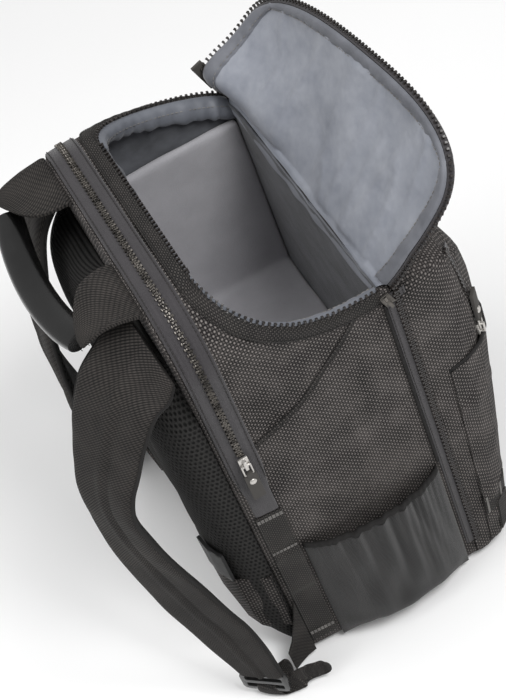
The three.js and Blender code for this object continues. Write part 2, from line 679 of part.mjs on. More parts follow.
const FAR_STRAP = [
  { across: 0.73, reach: 0.045, rise: 0.93, turn: 0, dip: 22, wide: 1 },
  { across: 0.7, reach: 0.25, rise: 0.89, turn: 8, dip: 14, wide: 1 },
  { across: 0.62, reach: 0.43, rise: 0.825, turn: 6, dip: 4, wide: 1 },
  { across: 0.575, reach: 0.58, rise: 0.75, turn: 4, dip: 0, wide: 0.96 },
  { across: 0.55, reach: 0.67, rise: 0.655, turn: 2, dip: 0, wide: 0.92 },
  { across: 0.53, reach: 0.7, rise: 0.57, turn: 4, dip: 0, wide: 0.88 },
  { across: 0.54, reach: 0.7, rise: 0.49, turn: 10, dip: 0, wide: 0.84 },
  { across: 0.62, reach: 0.68, rise: 0.39, turn: 20, dip: 0, wide: 0.8 },
  { across: 0.77, reach: 0.63, rise: 0.29, turn: 32, dip: 0, wide: 0.78 },
  { across: 0.95, reach: 0.56, rise: 0.18, turn: 44, dip: 0, wide: 0.7 },
  { across: 1.08, reach: 0.48, rise: 0.083, turn: 50, dip: 0, wide: 0.5 },
];

function strapStation(row) {
  const centre = vec(
    -row.across * BAG.width / 2,
    BACK.y + 2 + row.reach * STRAP.reach,
    row.rise * BAG.height,
  );
  const [turn, dip] = [radians(row.turn), radians(row.dip)];
  const side = vec(-Math.cos(turn) * Math.cos(dip), -Math.sin(turn) * Math.cos(dip), -Math.sin(dip));
  return { centre, side, width: row.wide * STRAP.width };
}

function strapSheet(table) {
  const stations = table.map(strapStation);
  const smooth = (pick) => new THREE.CatmullRomCurve3(stations.map(pick), false, 'centripetal');
  const centres = smooth((s) => s.centre);
  const edges = smooth((s) => s.centre.clone().addScaledVector(s.side, s.width / 2));
  const steps = 20;
  return range(steps + 1).map((i) => {
    const t = i / steps;
    const middle = centres.getPoint(t);
    const side = edges.getPoint(t).sub(middle);
    return [-1, -0.8, 0, 0.8, 1].map((k) => middle.clone().addScaledVector(side, k));
  });
}

function buildStraps() {
  const tables = { near: NEAR_STRAP, far: FAR_STRAP };
  for (const side of pairNames) {
    const sheet = strapSheet(tables[side]);
    const half = (u, v) => STRAP.edge / 2 + (STRAP.thick - STRAP.edge) / 2 * (Math.abs(2 * v - 1) < 0.9 ? 1 : 0);
    const placed = side === 'near' ? sheet : mirrored(sheet);
    const front = raise(placed, half);
    const rear = raise(placed, (u, v) => -half(u, v));
    add(`shoulder_strap_${side}`, between(front, rear), 'weave');
  }
}

// Webbing on the back gusset, with a flat loop between two bar tacks
function buildSideWebbing() {
  const heights = [BAND.foot - 2, 180, WEBBING.loopTop + 8, WEBBING.loopTop, 128, WEBBING.loopFoot,
    WEBBING.loopFoot - 8, 60, WEBBING.foot];
  const isLoop = (z) => z <= WEBBING.loopTop && z >= WEBBING.loopFoot;
  const sheet = heights.map((z) => [-0.5, 0.5].map((k) => {
    const y = BAND.y + k * WEBBING.width;
    const base = halfAt(y) + CLEAR + (isLoop(z) ? WEBBING.loopLift : 0);
    return vec(-base - 0.4, y, z);
  }));
  const outer = sheet.map((row) => row.map((p) => vec(p.x - WEBBING.thick, p.y, p.z)));
  add('side_webbing_near', between(sheet, outer), 'weave');
  add('side_webbing_far', between(mirrored(sheet), mirrored(outer)), 'weave');
}

// How far a mesh pocket stands off the side: u along its mouth, v from foot to mouth
function pocketBulge(u, v) {
  const across = Math.sin(Math.PI * u) ** 0.6;
  const { belly, bellyAt, mouth } = SIDE_POCKET;
  const low = belly * Math.sin(Math.PI / 2 * Math.min(v / bellyAt, 1));
  const rise = v < bellyAt ? low : mix(belly, mouth, (v - bellyAt) / (1 - bellyAt));
  const ripple = GATHERS.deep * Math.cos(2 * Math.PI * GATHERS.count * u) * v ** 2;
  return across * (rise + ripple);
}

const mouthRise = (u) => SIDE_POCKET.endRise * Math.abs(2 * u - 1) ** 5;

function pocketPoint(u, v, out) {
  const y = mix(SIDE_POCKET.back, SIDE_POCKET.front, u);
  const z = mix(SIDE_POCKET.foot, SIDE_POCKET.top + mouthRise(u), v);
  return vec(-halfAt(y) - CLEAR - 0.3 - pocketBulge(u, v) - out, y, z);
}

function buildSidePockets() {
  const columns = 3 * GATHERS.count;
  const heights = [0, 0.06, 0.16, 0.55, 1];
  const sheets = [0, SIDE_POCKET.thick].map((out) => range(columns + 1).map((i) => (
    heights.map((v) => pocketPoint(i / columns, v, out))
  )));
  const edge = range(19).map((i) => {
    const u = i / 18;
    const spread = BINDING.thick / 2;
    const middle = pocketPoint(u, 1, SIDE_POCKET.thick / 2);
    middle.x += across(u) * GATHERS.deep * Math.cos(2 * Math.PI * GATHERS.count * u);
    const inward = Math.min(spread, SIDE_POCKET.thick / 2 + pocketBulge(u, 1));
    return [[inward, 0], [-spread, 0], [-spread, 1], [inward, 1]]
      .map(([dx, k]) => vec(middle.x + dx, middle.y, middle.z + CLEAR + k * BINDING.width));
  });
  for (const side of pairNames) {
    const place = side === 'near' ? (rows) => rows : mirrored;
    add(`mesh_pocket_${side}`, between(...sheets.map(place)), 'mesh');
    add(`pocket_binding_${side}`, loft(place(edge)), 'tape');
  }
}

const across = (u) => Math.sin(Math.PI * u) ** 0.6;

// Ladder locks, lower webbings and their anchor gussets
function buildBuckles() {
  const tables = { near: NEAR_STRAP, far: FAR_STRAP };
  for (const side of pairNames) {
    const stations = tables[side].map(strapStation);
    const [before, end] = stations.slice(-2);
    const flat = end.side.clone();
    const down = end.centre.clone().sub(before.centre);
    const length = down.addScaledVector(flat, -down.dot(flat)).normalize();
    const normal = flat.clone().cross(length);
    const basis = new THREE.Matrix4().makeBasis(flat, length, normal);
    const centre = end.centre.clone().addScaledVector(length, LOCK.length / 2 + SEAT);
    const shape = roundedRect(LOCK.width, LOCK.length, 5);
    const slotLong = (LOCK.length - 3 * LOCK.bar) / 2;
    for (const k of [-1, 1]) {
      const hole = roundedRect(LOCK.width - 2 * LOCK.bar, slotLong, 1.5);
      const moved = hole.getPoints(2).map((p) => new THREE.Vector2(p.x, p.y + k * (slotLong + LOCK.bar) / 2));
      shape.holes.push(new THREE.Path(moved));
    }
    const frame = new THREE.ExtrudeGeometry(shape, { depth: LOCK.thick, bevelEnabled: false, curveSegments: 1 });
    frame.translate(0, 0, -LOCK.thick / 2);
    frame.applyMatrix4(basis);
    frame.translate(centre.x, centre.y, centre.z);
    const place = side === 'near' ? (rows) => rows : mirrored;
    const mirror = new THREE.Matrix4().makeScale(-1, 1, 1);
    const lock = side === 'near' ? frame : flipped(frame.applyMatrix4(mirror));
    add(`ladder_lock_${side}`, lock, 'plastic');

    const root = halfAt(GUSSET.y) + CLEAR;
    const gusset = [
      [0, GUSSET.top, GUSSET.foot, 0], [0.35, 58, GUSSET.foot, 0.2], [0.7, 38, 4, 0.55], [1, 30, 4, 1],
    ].map(([share, top, foot, out]) => [top, foot].map((z) => (
      vec(-root - out * GUSSET.out, GUSSET.y + share * GUSSET.reach, z)
    )));
    const skin = gusset.map((row) => row.map((p) => vec(p.x - GUSSET.thick, p.y, p.z)));
    add(`anchor_gusset_${side}`, between(place(gusset), place(skin)), 'weave');

    const tip = gusset.at(-1)[0].clone().lerp(gusset.at(-1)[1], 0.5).add(vec(0, CLEAR + LOWER.thick, 0));
    const atLock = (along, away) => centre.clone().addScaledVector(length, along).addScaledVector(normal, away);
    const edge = LOCK.length / 2;
    const off = LOCK.thick / 2 + 2 * CLEAR;
    const inner = edge - LOCK.bar - 3 * CLEAR;
    const upright = vec(0, 0, -1);
    const start = tip.clone().add(LOWER_END);
    const under = (share) => {
      const point = atLock(edge + 7, -off).lerp(start, share);
      return point.setZ(mix(atLock(edge + 7, -off).z, start.z, share ** 3));
    };
    const path = [
      { at: tip, wide: upright },
      { at: tip.clone().lerp(atLock(edge + 7, off), 0.35), wide: upright.clone().lerp(flat, 0.35) },
      { at: tip.clone().lerp(atLock(edge + 7, off), 0.7), wide: upright.clone().lerp(flat, 0.8) },
      { at: atLock(edge + 7, off), wide: flat },
      { at: atLock(inner + 1, off), wide: flat },
      { at: atLock(inner - 1, off - 2), wide: flat },
      { at: atLock(inner - 1.5, 0), wide: flat },
      { at: atLock(inner - 1, 2 - off), wide: flat },
      { at: atLock(inner + 1, -off), wide: flat },
      { at: atLock(edge + 7, -off), wide: flat },
      { at: under(0.4), wide: flat },
      { at: under(0.8), wide: upright.clone().lerp(flat, 0.5) },
      ...range(4 * LOWER.folds + 1).map((i) => {
        const share = i / (4 * LOWER.folds);
        const wave = Math.sin(share * 2 * Math.PI * LOWER.folds) * LOWER.foldDepth;
        return { at: start.clone().add(vec(wave - 6 * share, -LOWER.endLength * share, 0)), wide: upright };
      }),
    ];
    const ribbon = path.map(({ at, wide: across }) => {
      const reach = across.clone().normalize().multiplyScalar(LOWER.width / 2);
      return [at.clone().sub(reach), at.clone().add(reach)];
    });
    add(`lower_webbing_${side}`, between(...[ribbon, raise(ribbon, even(LOWER.thick))].map(place)), 'tape');
  }
}

function roundedRect(width, height, radius) {
  const [w, h] = [width / 2, height / 2];
  const shape = new THREE.Shape();
  shape.moveTo(-w + radius, -h);
  shape.lineTo(w - radius, -h);
  shape.absarc(w - radius, -h + radius, radius, -Math.PI / 2, 0, false);
  shape.lineTo(w, h - radius);
  shape.absarc(w - radius, h - radius, radius, 0, Math.PI / 2, false);
  shape.lineTo(-w + radius, h);
  shape.absarc(-w + radius, h - radius, radius, Math.PI / 2, Math.PI, false);
  shape.lineTo(-w, -h + radius);
  shape.absarc(-w + radius, -h + radius, radius, Math.PI, 1.5 * Math.PI, false);
  return shape;
}

// Mirrored geometry with its faces turned out again
function flipped(geometry) {
  const merged = mergeVertices(geometry.deleteAttribute('normal').deleteAttribute('uv'), 1e-4);
  const index = merged.index.array;
  for (let i = 0; i < index.length; i += 3) {
    [index[i + 1], index[i + 2]] = [index[i + 2], index[i + 1]];
  }
  return merged;
}

// Zip sliders with their links and fabric pulls

// Solids of one slider in its own frame: x across, y towards the pull, z off the cloth
function sliderParts() {
  const p = PULL;
  const top = p.bodyThick + p.bridgeHigh;
  const [back, front] = [-p.bodyLong / 2 + 0.5, p.bodyLong / 2 - 1.5];
  const w = p.bridgeWide / 2;
  const slider = join(
    block(-p.bodyWide / 2, p.bodyWide / 2, -p.bodyLong / 2, p.bodyLong / 2, 0, p.bodyThick),
    block(-w, w, back, back + p.bridgeWall, p.bodyThick / 2, top + p.bridgeWall / 2),
    block(-w, w, front - p.bridgeWall, front, p.bodyThick / 2, top + p.bridgeWall / 2),
    block(-w, w, back, front, top, top + p.bridgeWall),
  );
  const middle = p.bodyThick + p.bridgeHigh / 2;
  const pivot = front - p.bridgeWall - 0.8 - p.wire / 2;
  const linkShape = new THREE.Shape();
  const half = p.linkWide / 2;
  const [near, far] = [pivot - p.wire / 2, pivot - p.wire / 2 + p.linkLong];
  const rect = (x, y0, y1) => [[-x, y0], [x, y0], [x, y1], [-x, y1]].map(([a, b]) => new THREE.Vector2(a, b));
  linkShape.setFromPoints(rect(half, near, far));
  linkShape.holes.push(new THREE.Path(rect(half - p.wire, near + p.wire, far - p.wire)));
  const link = new THREE.ExtrudeGeometry(linkShape, { depth: p.wire, bevelEnabled: false });
  link.translate(0, 0, middle - p.wire / 2);

  const n = p.neckWide / 2;
  const [low, high] = [middle - p.wire / 2 - CLEAR, middle + p.wire / 2 + CLEAR];
  const inner = far - p.wire - CLEAR;
  const start = far + CLEAR;
  const tab = join(
    block(-n, n, inner - 0.9, start + 1, high, high + 0.9),
    block(-n, n, inner - 0.9, start + 1, low - 0.9, low),
    block(-n, n, inner - 0.9, inner, low - 0.5, high + 0.5),
    block(-p.tabWide / 2, p.tabWide / 2, start, start + p.tabLong, low - 0.4, high + 0.4),
  );
  return { slider, link, tab };
}

// Where each slider sits, the way its pull points and the way its face looks
function pullPlaces() {
  const bandFace = halfAt(BAND.y) + 3 * CLEAR + BAND.thick + CHAIN.thick;
  const sliderZ = BAND.sliderHeight - PULL.bodyLong / 2 - CLEAR;
  const lidSide = halfAt(MAIN.front) + 2 * CLEAR + MOUTH_TRIM.tapeThick;
  const zip = FRONT_POCKET_ZIP;
  const pocketEnd = frontPoint(zip.reach, zip.foot - PULL.bodyLong / 2 - CLEAR, 0, 0);
  return {
    back_near: { at: vec(-bandFace, BAND.y, sliderZ), along: vec(0, 0, -1), out: vec(-1, 0, 0) },
    back_far: { at: vec(bandFace, BAND.y, sliderZ), along: vec(0, 0, -1), out: vec(1, 0, 0) },
    lid_far: { at: vec(lidSide + 3, MAIN.front + 6, MOUTH.hinge - 3), along: vec(0, 0.35, 1), out: vec(1, 0, 0) },
    lid_near: {
      at: vec(-lidSide - 3, MAIN.front + 6, MOUTH.hinge - 3),
      along: vec(0, 0.35, 1),
      out: vec(-1, 0, 0),
      hidesPull: true,
    },
    pocket_near: {
      at: pocketEnd.add(vec(-2, -2.4, 0)),
      along: vec(0, 0, 1),
      out: vec(-0.62, -0.78, 0),
    },
  };
}

function buildPulls() {
  const { slider, link, tab } = sliderParts();
  for (const [name, place] of Object.entries(pullPlaces())) {
    const along = place.along.clone().normalize();
    const out = place.out.clone().normalize();
    const side = along.clone().cross(out);
    const matrix = new THREE.Matrix4().makeBasis(side, along, out).setPosition(place.at);
    const placed = (geometry) => geometry.clone().applyMatrix4(matrix);
    add(`slider_${name}`, placed(slider), 'nickel');
    if (place.hidesPull) continue;
    add(`pull_link_${name}`, placed(link), 'nickel');
    add(`pull_tab_${name}`, placed(tab), 'weave');
  }
}

buildMain();
buildMouthTrim();
buildLid();
buildFront();
buildFrontZip();
buildBackZip();
buildBack();
buildPads();
buildHandle();
buildStraps();
buildFrontPocketZip();
buildLashLoops();
buildSideWebbing();
buildSidePockets();
buildBuckles();
buildPulls();

export default bag;
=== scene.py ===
"""Camera backpack with its lid folded open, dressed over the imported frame."""
import enum
import logging
import math
from dataclasses import dataclass, field
from typing import Callable, Iterable, Optional, Sequence

import bmesh
import bpy
import numpy as np
from mathutils import Matrix, Vector


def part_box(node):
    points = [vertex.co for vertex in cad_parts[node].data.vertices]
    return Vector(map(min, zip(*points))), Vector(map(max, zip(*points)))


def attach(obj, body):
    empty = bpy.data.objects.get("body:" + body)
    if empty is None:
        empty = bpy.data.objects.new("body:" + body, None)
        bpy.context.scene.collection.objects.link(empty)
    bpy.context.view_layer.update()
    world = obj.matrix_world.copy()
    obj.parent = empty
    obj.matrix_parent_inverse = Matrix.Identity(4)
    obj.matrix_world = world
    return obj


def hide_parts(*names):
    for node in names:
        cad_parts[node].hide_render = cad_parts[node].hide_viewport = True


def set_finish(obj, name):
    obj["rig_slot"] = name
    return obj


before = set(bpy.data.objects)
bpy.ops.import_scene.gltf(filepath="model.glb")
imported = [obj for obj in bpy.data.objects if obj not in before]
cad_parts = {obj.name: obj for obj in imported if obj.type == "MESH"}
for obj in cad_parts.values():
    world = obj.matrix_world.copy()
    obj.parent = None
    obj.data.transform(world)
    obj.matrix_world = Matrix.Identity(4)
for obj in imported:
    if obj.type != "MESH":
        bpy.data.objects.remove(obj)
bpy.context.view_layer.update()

LOG = logging.getLogger("backpack")
MM = 0.001
BODY = "bag"


# Small geometry tools, all in millimetres


def bag_half(y: float) -> float:
    """Half the bag's width at a depth."""
    return 148.0 - 3.0 * (y / 80.0) ** 2


def front_half(y: float) -> float:
    """Half width beside the front zip, where the front compartment meets the bag."""
    return bag_half(max(y, -78.0))


def outline_half(y: float, z: float, inset: float) -> float:
    """Half the width of the bag's outline at a depth and height, under an inset."""
    radius = 60.0 - inset
    over = min(max(z - 385.0, 0.0), radius)
    return bag_half(y) - 60.0 + math.sqrt(radius * radius - over * over)


def smooth_line(points: Sequence[Sequence[float]], count: int) -> np.ndarray:
    """Catmull-Rom line through points, resampled evenly.

    Args:
        points: the line's corners.
        count: how many points come back.

    Returns:
        An array of count points.
    """
    pts = np.array(points, float)
    ends = np.vstack([2 * pts[0] - pts[1], pts, 2 * pts[-1] - pts[-2]])
    fine = []
    for i in range(len(pts) - 1):
        a, b, c, d = ends[i:i + 4]
        t = np.linspace(0, 1, 12, endpoint=False)[:, None]
        fine.append(0.5 * (2 * b + (c - a) * t + (2 * a - 5 * b + 4 * c - d) * t ** 2
                           + (3 * b - a - 3 * c + d) * t ** 3))
    fine.append(pts[-1:])
    return resampled(np.vstack(fine), count)


def resampled(line: np.ndarray, count: int, closed_by: Optional[np.ndarray] = None) -> np.ndarray:
    """Points at even distances along a line.

    Args:
        line: the line's points.
        count: how many points come back.
        closed_by: measures the distance along another line with equal points.

    Returns:
        An array of count points.
    """
    guide = line if closed_by is None else closed_by
    steps = np.linalg.norm(np.diff(guide, axis=0), axis=1)
    at = np.concatenate([[0], np.cumsum(steps)])
    where = np.linspace(0, at[-1], count)
    return np.stack([np.interp(where, at, line[:, k]) for k in range(line.shape[1])], axis=1)


def line_length(line: np.ndarray) -> float:
    """Length of a line of points."""
    return float(np.linalg.norm(np.diff(line, axis=0), axis=1).sum())


def unit(vectors: np.ndarray) -> np.ndarray:
    """Vectors at length one."""
    long = np.linalg.norm(vectors, axis=-1, keepdims=True)
    return vectors / np.maximum(long, 1e-9)


def tangents(line: np.ndarray) -> np.ndarray:
    """Unit direction of a line at each point."""
    return unit(np.gradient(line, axis=0))


def grid_normals(grid: np.ndarray) -> np.ndarray:
    """Unit normals of a grid of points."""
    return unit(np.cross(np.gradient(grid, axis=0), np.gradient(grid, axis=1)))


def mirrored(points: np.ndarray) -> np.ndarray:
    """Points on the other side of the bag."""
    return points * np.array([-1.0, 1.0, 1.0])


def swirl(points: np.ndarray, size: float, seed: int) -> np.ndarray:
    """Soft even noise between about -1 and 1 at points.

    Args:
        points: places, in millimetres.
        size: the distance over which it changes.
        seed: picks the pattern.

    Returns:
        One value for each point.
    """
    rng = np.random.default_rng(seed)
    total = np.zeros(points.shape[:-1])
    for _ in range(7):
        way = rng.normal(size=3)
        way /= np.linalg.norm(way)
        pace = rng.uniform(0.6, 1.6) * 2 * math.pi / size
        total += np.sin(points @ way * pace + rng.uniform(0, 6.28))
    return total / 3.2


# Meshes


def link(name: str, mesh: bpy.types.Mesh) -> bpy.types.Object:
    """New object in the scene that shows a mesh."""
    piece = bpy.data.objects.new(name, mesh)
    bpy.context.scene.collection.objects.link(piece)
    return piece


def smooth(piece: bpy.types.Object, angle: float = 180.0) -> None:
    """Shades a piece smooth, with edges kept sharp past an angle."""
    only(piece)
    if angle >= 180:
        bpy.ops.object.shade_smooth()
    else:
        bpy.ops.object.shade_smooth_by_angle(angle=math.radians(angle))


def only(piece: bpy.types.Object) -> None:
    """Selects one piece and makes it active."""
    bpy.ops.object.select_all(action="DESELECT")
    piece.select_set(True)
    bpy.context.view_layer.objects.active = piece


def apply(piece: bpy.types.Object, kind: str, **settings: object) -> None:
    """Adds a modifier to a piece and applies it.

    Args:
        piece: the object.
        kind: the modifier's type.
        settings: the modifier's values by name.
    """
    only(piece)
    modifier = piece.modifiers.new(kind.title(), kind)
    for key, value in settings.items():
        setattr(modifier, key, value)
    bpy.ops.object.modifier_apply(modifier=modifier.name)


def woven_grid(name: str, grid: np.ndarray, tube: bool = False, thick: float = 0.0,
               offset: float = 0.0,
               side_index: Optional[Callable[[int, int], int]] = None) -> bpy.types.Object:
    """Cloth through a grid of points, with a map in millimetres along it.

    Args:
        name: the piece's name.
        grid: rows x columns x 3 points, in millimetres.
        tube: joins the last column to the first and closes both ends.
        thick: the cloth's thickness, in millimetres.
        offset: where the thickness goes, from -1 behind to 1 in front.
        side_index: gives the material number at a row and column.

    Returns:
        The new object.
    """
    rows, columns = grid.shape[:2]
    spans = columns if tube else columns - 1
    across = np.linalg.norm(np.diff(grid, axis=1, append=grid[:, :1]), axis=2).mean(axis=0)
    along = np.linalg.norm(np.diff(grid, axis=0), axis=2).mean(axis=1)
    u = np.concatenate([[0], np.cumsum(across)])
    v = np.concatenate([[0], np.cumsum(along)])
    faces, uvs, kinds = [], [], []
    for i in range(rows - 1):
        for j in range(spans):
            k = (j + 1) % columns
            faces.append((i * columns + j, i * columns + k, (i + 1) * columns + k, (i + 1) * columns + j))
            uvs.extend([(u[j], v[i]), (u[j + 1], v[i]), (u[j + 1], v[i + 1]), (u[j], v[i + 1])])
            kinds.append(side_index(i, j) if side_index else 0)
    if tube:
        for row, flip in ((0, True), (rows - 1, False)):
            ring = [row * columns + j for j in range(columns)]
            faces.append(tuple(reversed(ring)) if flip else tuple(ring))
            uvs.extend([(u[j], v[row]) for j in range(columns)])
            kinds.append(0)
    mesh = bpy.data.meshes.new(name)
    mesh.from_pydata([tuple(p) for p in grid.reshape(-1, 3) * MM], [], faces)
    layer = mesh.uv_layers.new(name="cloth")
    layer.data.foreach_set("uv", np.array(uvs, np.float32).ravel())
    mesh.polygons.foreach_set("material_index", np.array(kinds, np.int32))
    mesh.update()
    piece = link(name, mesh)
    if thick:
        apply(piece, "SOLIDIFY", thickness=thick * MM, offset=offset, use_even_offset=False)
    outward(piece)
    smooth(piece, 50.0 if thick else 70.0)
    return piece


def outward(piece: bpy.types.Object) -> None:
    """Turns a closed piece's faces out."""
    mesh = bmesh.new()
    mesh.from_mesh(piece.data)
    bmesh.ops.recalc_face_normals(mesh, faces=mesh.faces)
    if mesh.calc_volume(signed=True) < 0:
        bmesh.ops.reverse_faces(mesh, faces=mesh.faces)
    mesh.to_mesh(piece.data)
    mesh.free()


def box_map(piece: bpy.types.Object) -> None:
    """Gives a piece a cloth map in millimetres, laid on from its six sides."""
    mesh = piece.data
    layer = mesh.uv_layers.get("cloth") or mesh.uv_layers.new(name="cloth")
    places = np.empty(len(mesh.vertices) * 3)
    mesh.vertices.foreach_get("co", places)
    places = places.reshape(-1, 3) / MM
    values = np.empty((len(mesh.loops), 2), np.float32)
    for face in mesh.polygons:
        main = int(np.argmax(np.abs(face.normal)))
        axes = {0: (1, 2), 1: (0, 2), 2: (0, 1)}[main]
        loops = list(face.loop_indices)
        corners = places[list(face.vertices)]
        values[loops] = corners[:, axes]
    layer.data.foreach_set("uv", values.ravel())


def frame_copy(name: str, node: str) -> bpy.types.Object:
    """Copy of a frame node's mesh as one welded surface.

    Args:
        name: the new piece's name.
        node: the node in the frame.

    Returns:
        The new object, at the origin.
    """
    piece = link(name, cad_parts[node].data.copy())
    piece.data.materials.clear()
    mesh = bmesh.new()
    mesh.from_mesh(piece.data)
    bmesh.ops.remove_doubles(mesh, verts=mesh.verts, dist=2e-6)
    bmesh.ops.dissolve_limit(mesh, angle_limit=math.radians(0.6), verts=mesh.verts, edges=mesh.edges)
    mesh.to_mesh(piece.data)
    mesh.free()
    return piece


def gridded(piece: bpy.types.Object, step: float) -> None:
    """Cuts a piece's faces into cells, so that it can take folds.

    Args:
        piece: the object.
        step: the size of a cell, in millimetres.
    """
    mesh = bmesh.new()
    mesh.from_mesh(piece.data)
    places = np.array([v.co for v in mesh.verts]) / MM
    for axis in range(3):
        low, high = places[:, axis].min(), places[:, axis].max()
        count = int((high - low) / step)
        for k in range(1, count + 1):
            at = Vector((0, 0, 0))
            at[axis] = (low + k * (high - low) / (count + 1)) * MM
            way = Vector((0, 0, 0))
            way[axis] = 1
            everything = mesh.verts[:] + mesh.edges[:] + mesh.faces[:]
            bmesh.ops.bisect_plane(mesh, geom=everything, dist=1e-6, plane_co=at, plane_no=way)
    mesh.to_mesh(piece.data)
    mesh.free()


def moved(piece: bpy.types.Object, change: Callable[[np.ndarray, np.ndarray], np.ndarray]) -> None:
    """Moves a piece's points.

    Args:
        piece: the object.
        change: gives the new places from the places and normals, in millimetres.
    """
    mesh = piece.data
    count = len(mesh.vertices)
    places, normals = np.empty(count * 3), np.empty(count * 3)
    mesh.vertices.foreach_get("co", places)
    mesh.vertex_normals.foreach_get("vector", normals)
    new = change(places.reshape(-1, 3) / MM, normals.reshape(-1, 3))
    mesh.vertices.foreach_set("co", (new * MM).ravel())
    mesh.update()


def true_corners(places: np.ndarray, insets: Sequence[float]) -> np.ndarray:
    """Moves points of the bag's rounded upper corners onto a true round."""
    new = places.copy()
    for sign in (-1, 1):
        centre_x = sign * (148.0 - 3.0 * (places[:, 1] / 80.0) ** 2 - 60.0)
        dx, dz = places[:, 0] - centre_x, places[:, 2] - 385.0
        reach = np.hypot(dx, dz)
        for inset in insets:
            radius = 60.0 - inset
            on = (dx * sign > 0) & (dz > 0) & (reach > radius * 0.984) & (reach < radius + 0.05)
            new[on, 0] = centre_x[on] + dx[on] * radius / reach[on]
            new[on, 2] = 385.0 + dz[on] * radius / reach[on]
    return new


def strewn(name: str, pattern: bpy.types.Object, places: Sequence[Matrix]) -> bpy.types.Object:
    """One mesh of many copies of a small shape.

    Args:
        name: the piece's name.
        pattern: the shape, in millimetres; it stays in the file's memory only.
        places: where each copy goes.

    Returns:
        The new object.
    """
    source = pattern.data
    count = len(source.vertices)
    base = np.empty(count * 3)
    source.vertices.foreach_get("co", base)
    base = np.hstack([base.reshape(-1, 3), np.ones((count, 1))])
    shapes = np.array([np.array(place) for place in places])
    points = (base @ shapes.transpose(0, 2, 1))[..., :3].reshape(-1, 3) * MM
    polygons = [list(face.vertices) for face in source.polygons]
    faces = [[v + k * count for v in face] for k in range(len(places)) for face in polygons]
    mesh = bpy.data.meshes.new(name)
    mesh.from_pydata([tuple(p) for p in points], [], faces)
    mesh.update()
    piece = link(name, mesh)
    smooth(piece, 40.0)
    return piece


def stood(points: np.ndarray, ways: np.ndarray, faces: np.ndarray) -> list[Matrix]:
    """Places for copies: x along ways, z along faces, at points."""
    result = []
    for at, way, face in zip(points, unit(ways), unit(faces)):
        side = np.cross(face, way)
        side /= max(np.linalg.norm(side), 1e-9)
        up = np.cross(way, side)
        turn = np.eye(4)
        turn[:3, 0], turn[:3, 1], turn[:3, 2], turn[:3, 3] = way, side, up, at
        result.append(Matrix(turn.tolist()))
    return result


# Shading


class Signal:
    """A shader value that is added, scaled and compared like a number."""

    def __init__(self, loom: "Loom", socket: bpy.types.NodeSocket) -> None:
        """Wraps a node's output."""
        self.loom = loom
        self.socket = socket

    def _with(self, operation: str, first: object, second: object = None) -> "Signal":
        """Result of one Math node."""
        values = {0: first} if second is None else {0: first, 1: second}
        return self.loom.add("ShaderNodeMath", {"operation": operation}, values)

    def __add__(self, other: object) -> "Signal":
        """Sum."""
        return self._with("ADD", self, other)

    __radd__ = __add__

    def __mul__(self, other: object) -> "Signal":
        """Product."""
        return self._with("MULTIPLY", self, other)

    __rmul__ = __mul__

    def __sub__(self, other: object) -> "Signal":
        """Difference."""
        return self._with("SUBTRACT", self, other)

    def __rsub__(self, other: object) -> "Signal":
        """Difference from a number."""
        return self._with("SUBTRACT", other, self)

    def __truediv__(self, other: object) -> "Signal":
        """Quotient."""
        return self._with("DIVIDE", self, other)

    def __pow__(self, other: object) -> "Signal":
        """Power."""
        return self._with("POWER", self, other)

    def __gt__(self, other: object) -> "Signal":
        """One where it is greater, else nought."""
        return self._with("GREATER_THAN", self, other)

    def size(self) -> "Signal":
        """Value without its sign."""
        return self._with("ABSOLUTE", self)

    def wave(self) -> "Signal":
        """Sine."""
        return self._with("SINE", self)

    def part(self) -> "Signal":
        """What is over a whole number."""
        return self._with("FRACT", self)

    def whole(self) -> "Signal":
        """Whole number under it."""
        return self._with("FLOOR", self)

    def clipped(self) -> "Signal":
        """Value held between nought and one."""
        return self.loom.add("ShaderNodeClamp", {}, {0: self})


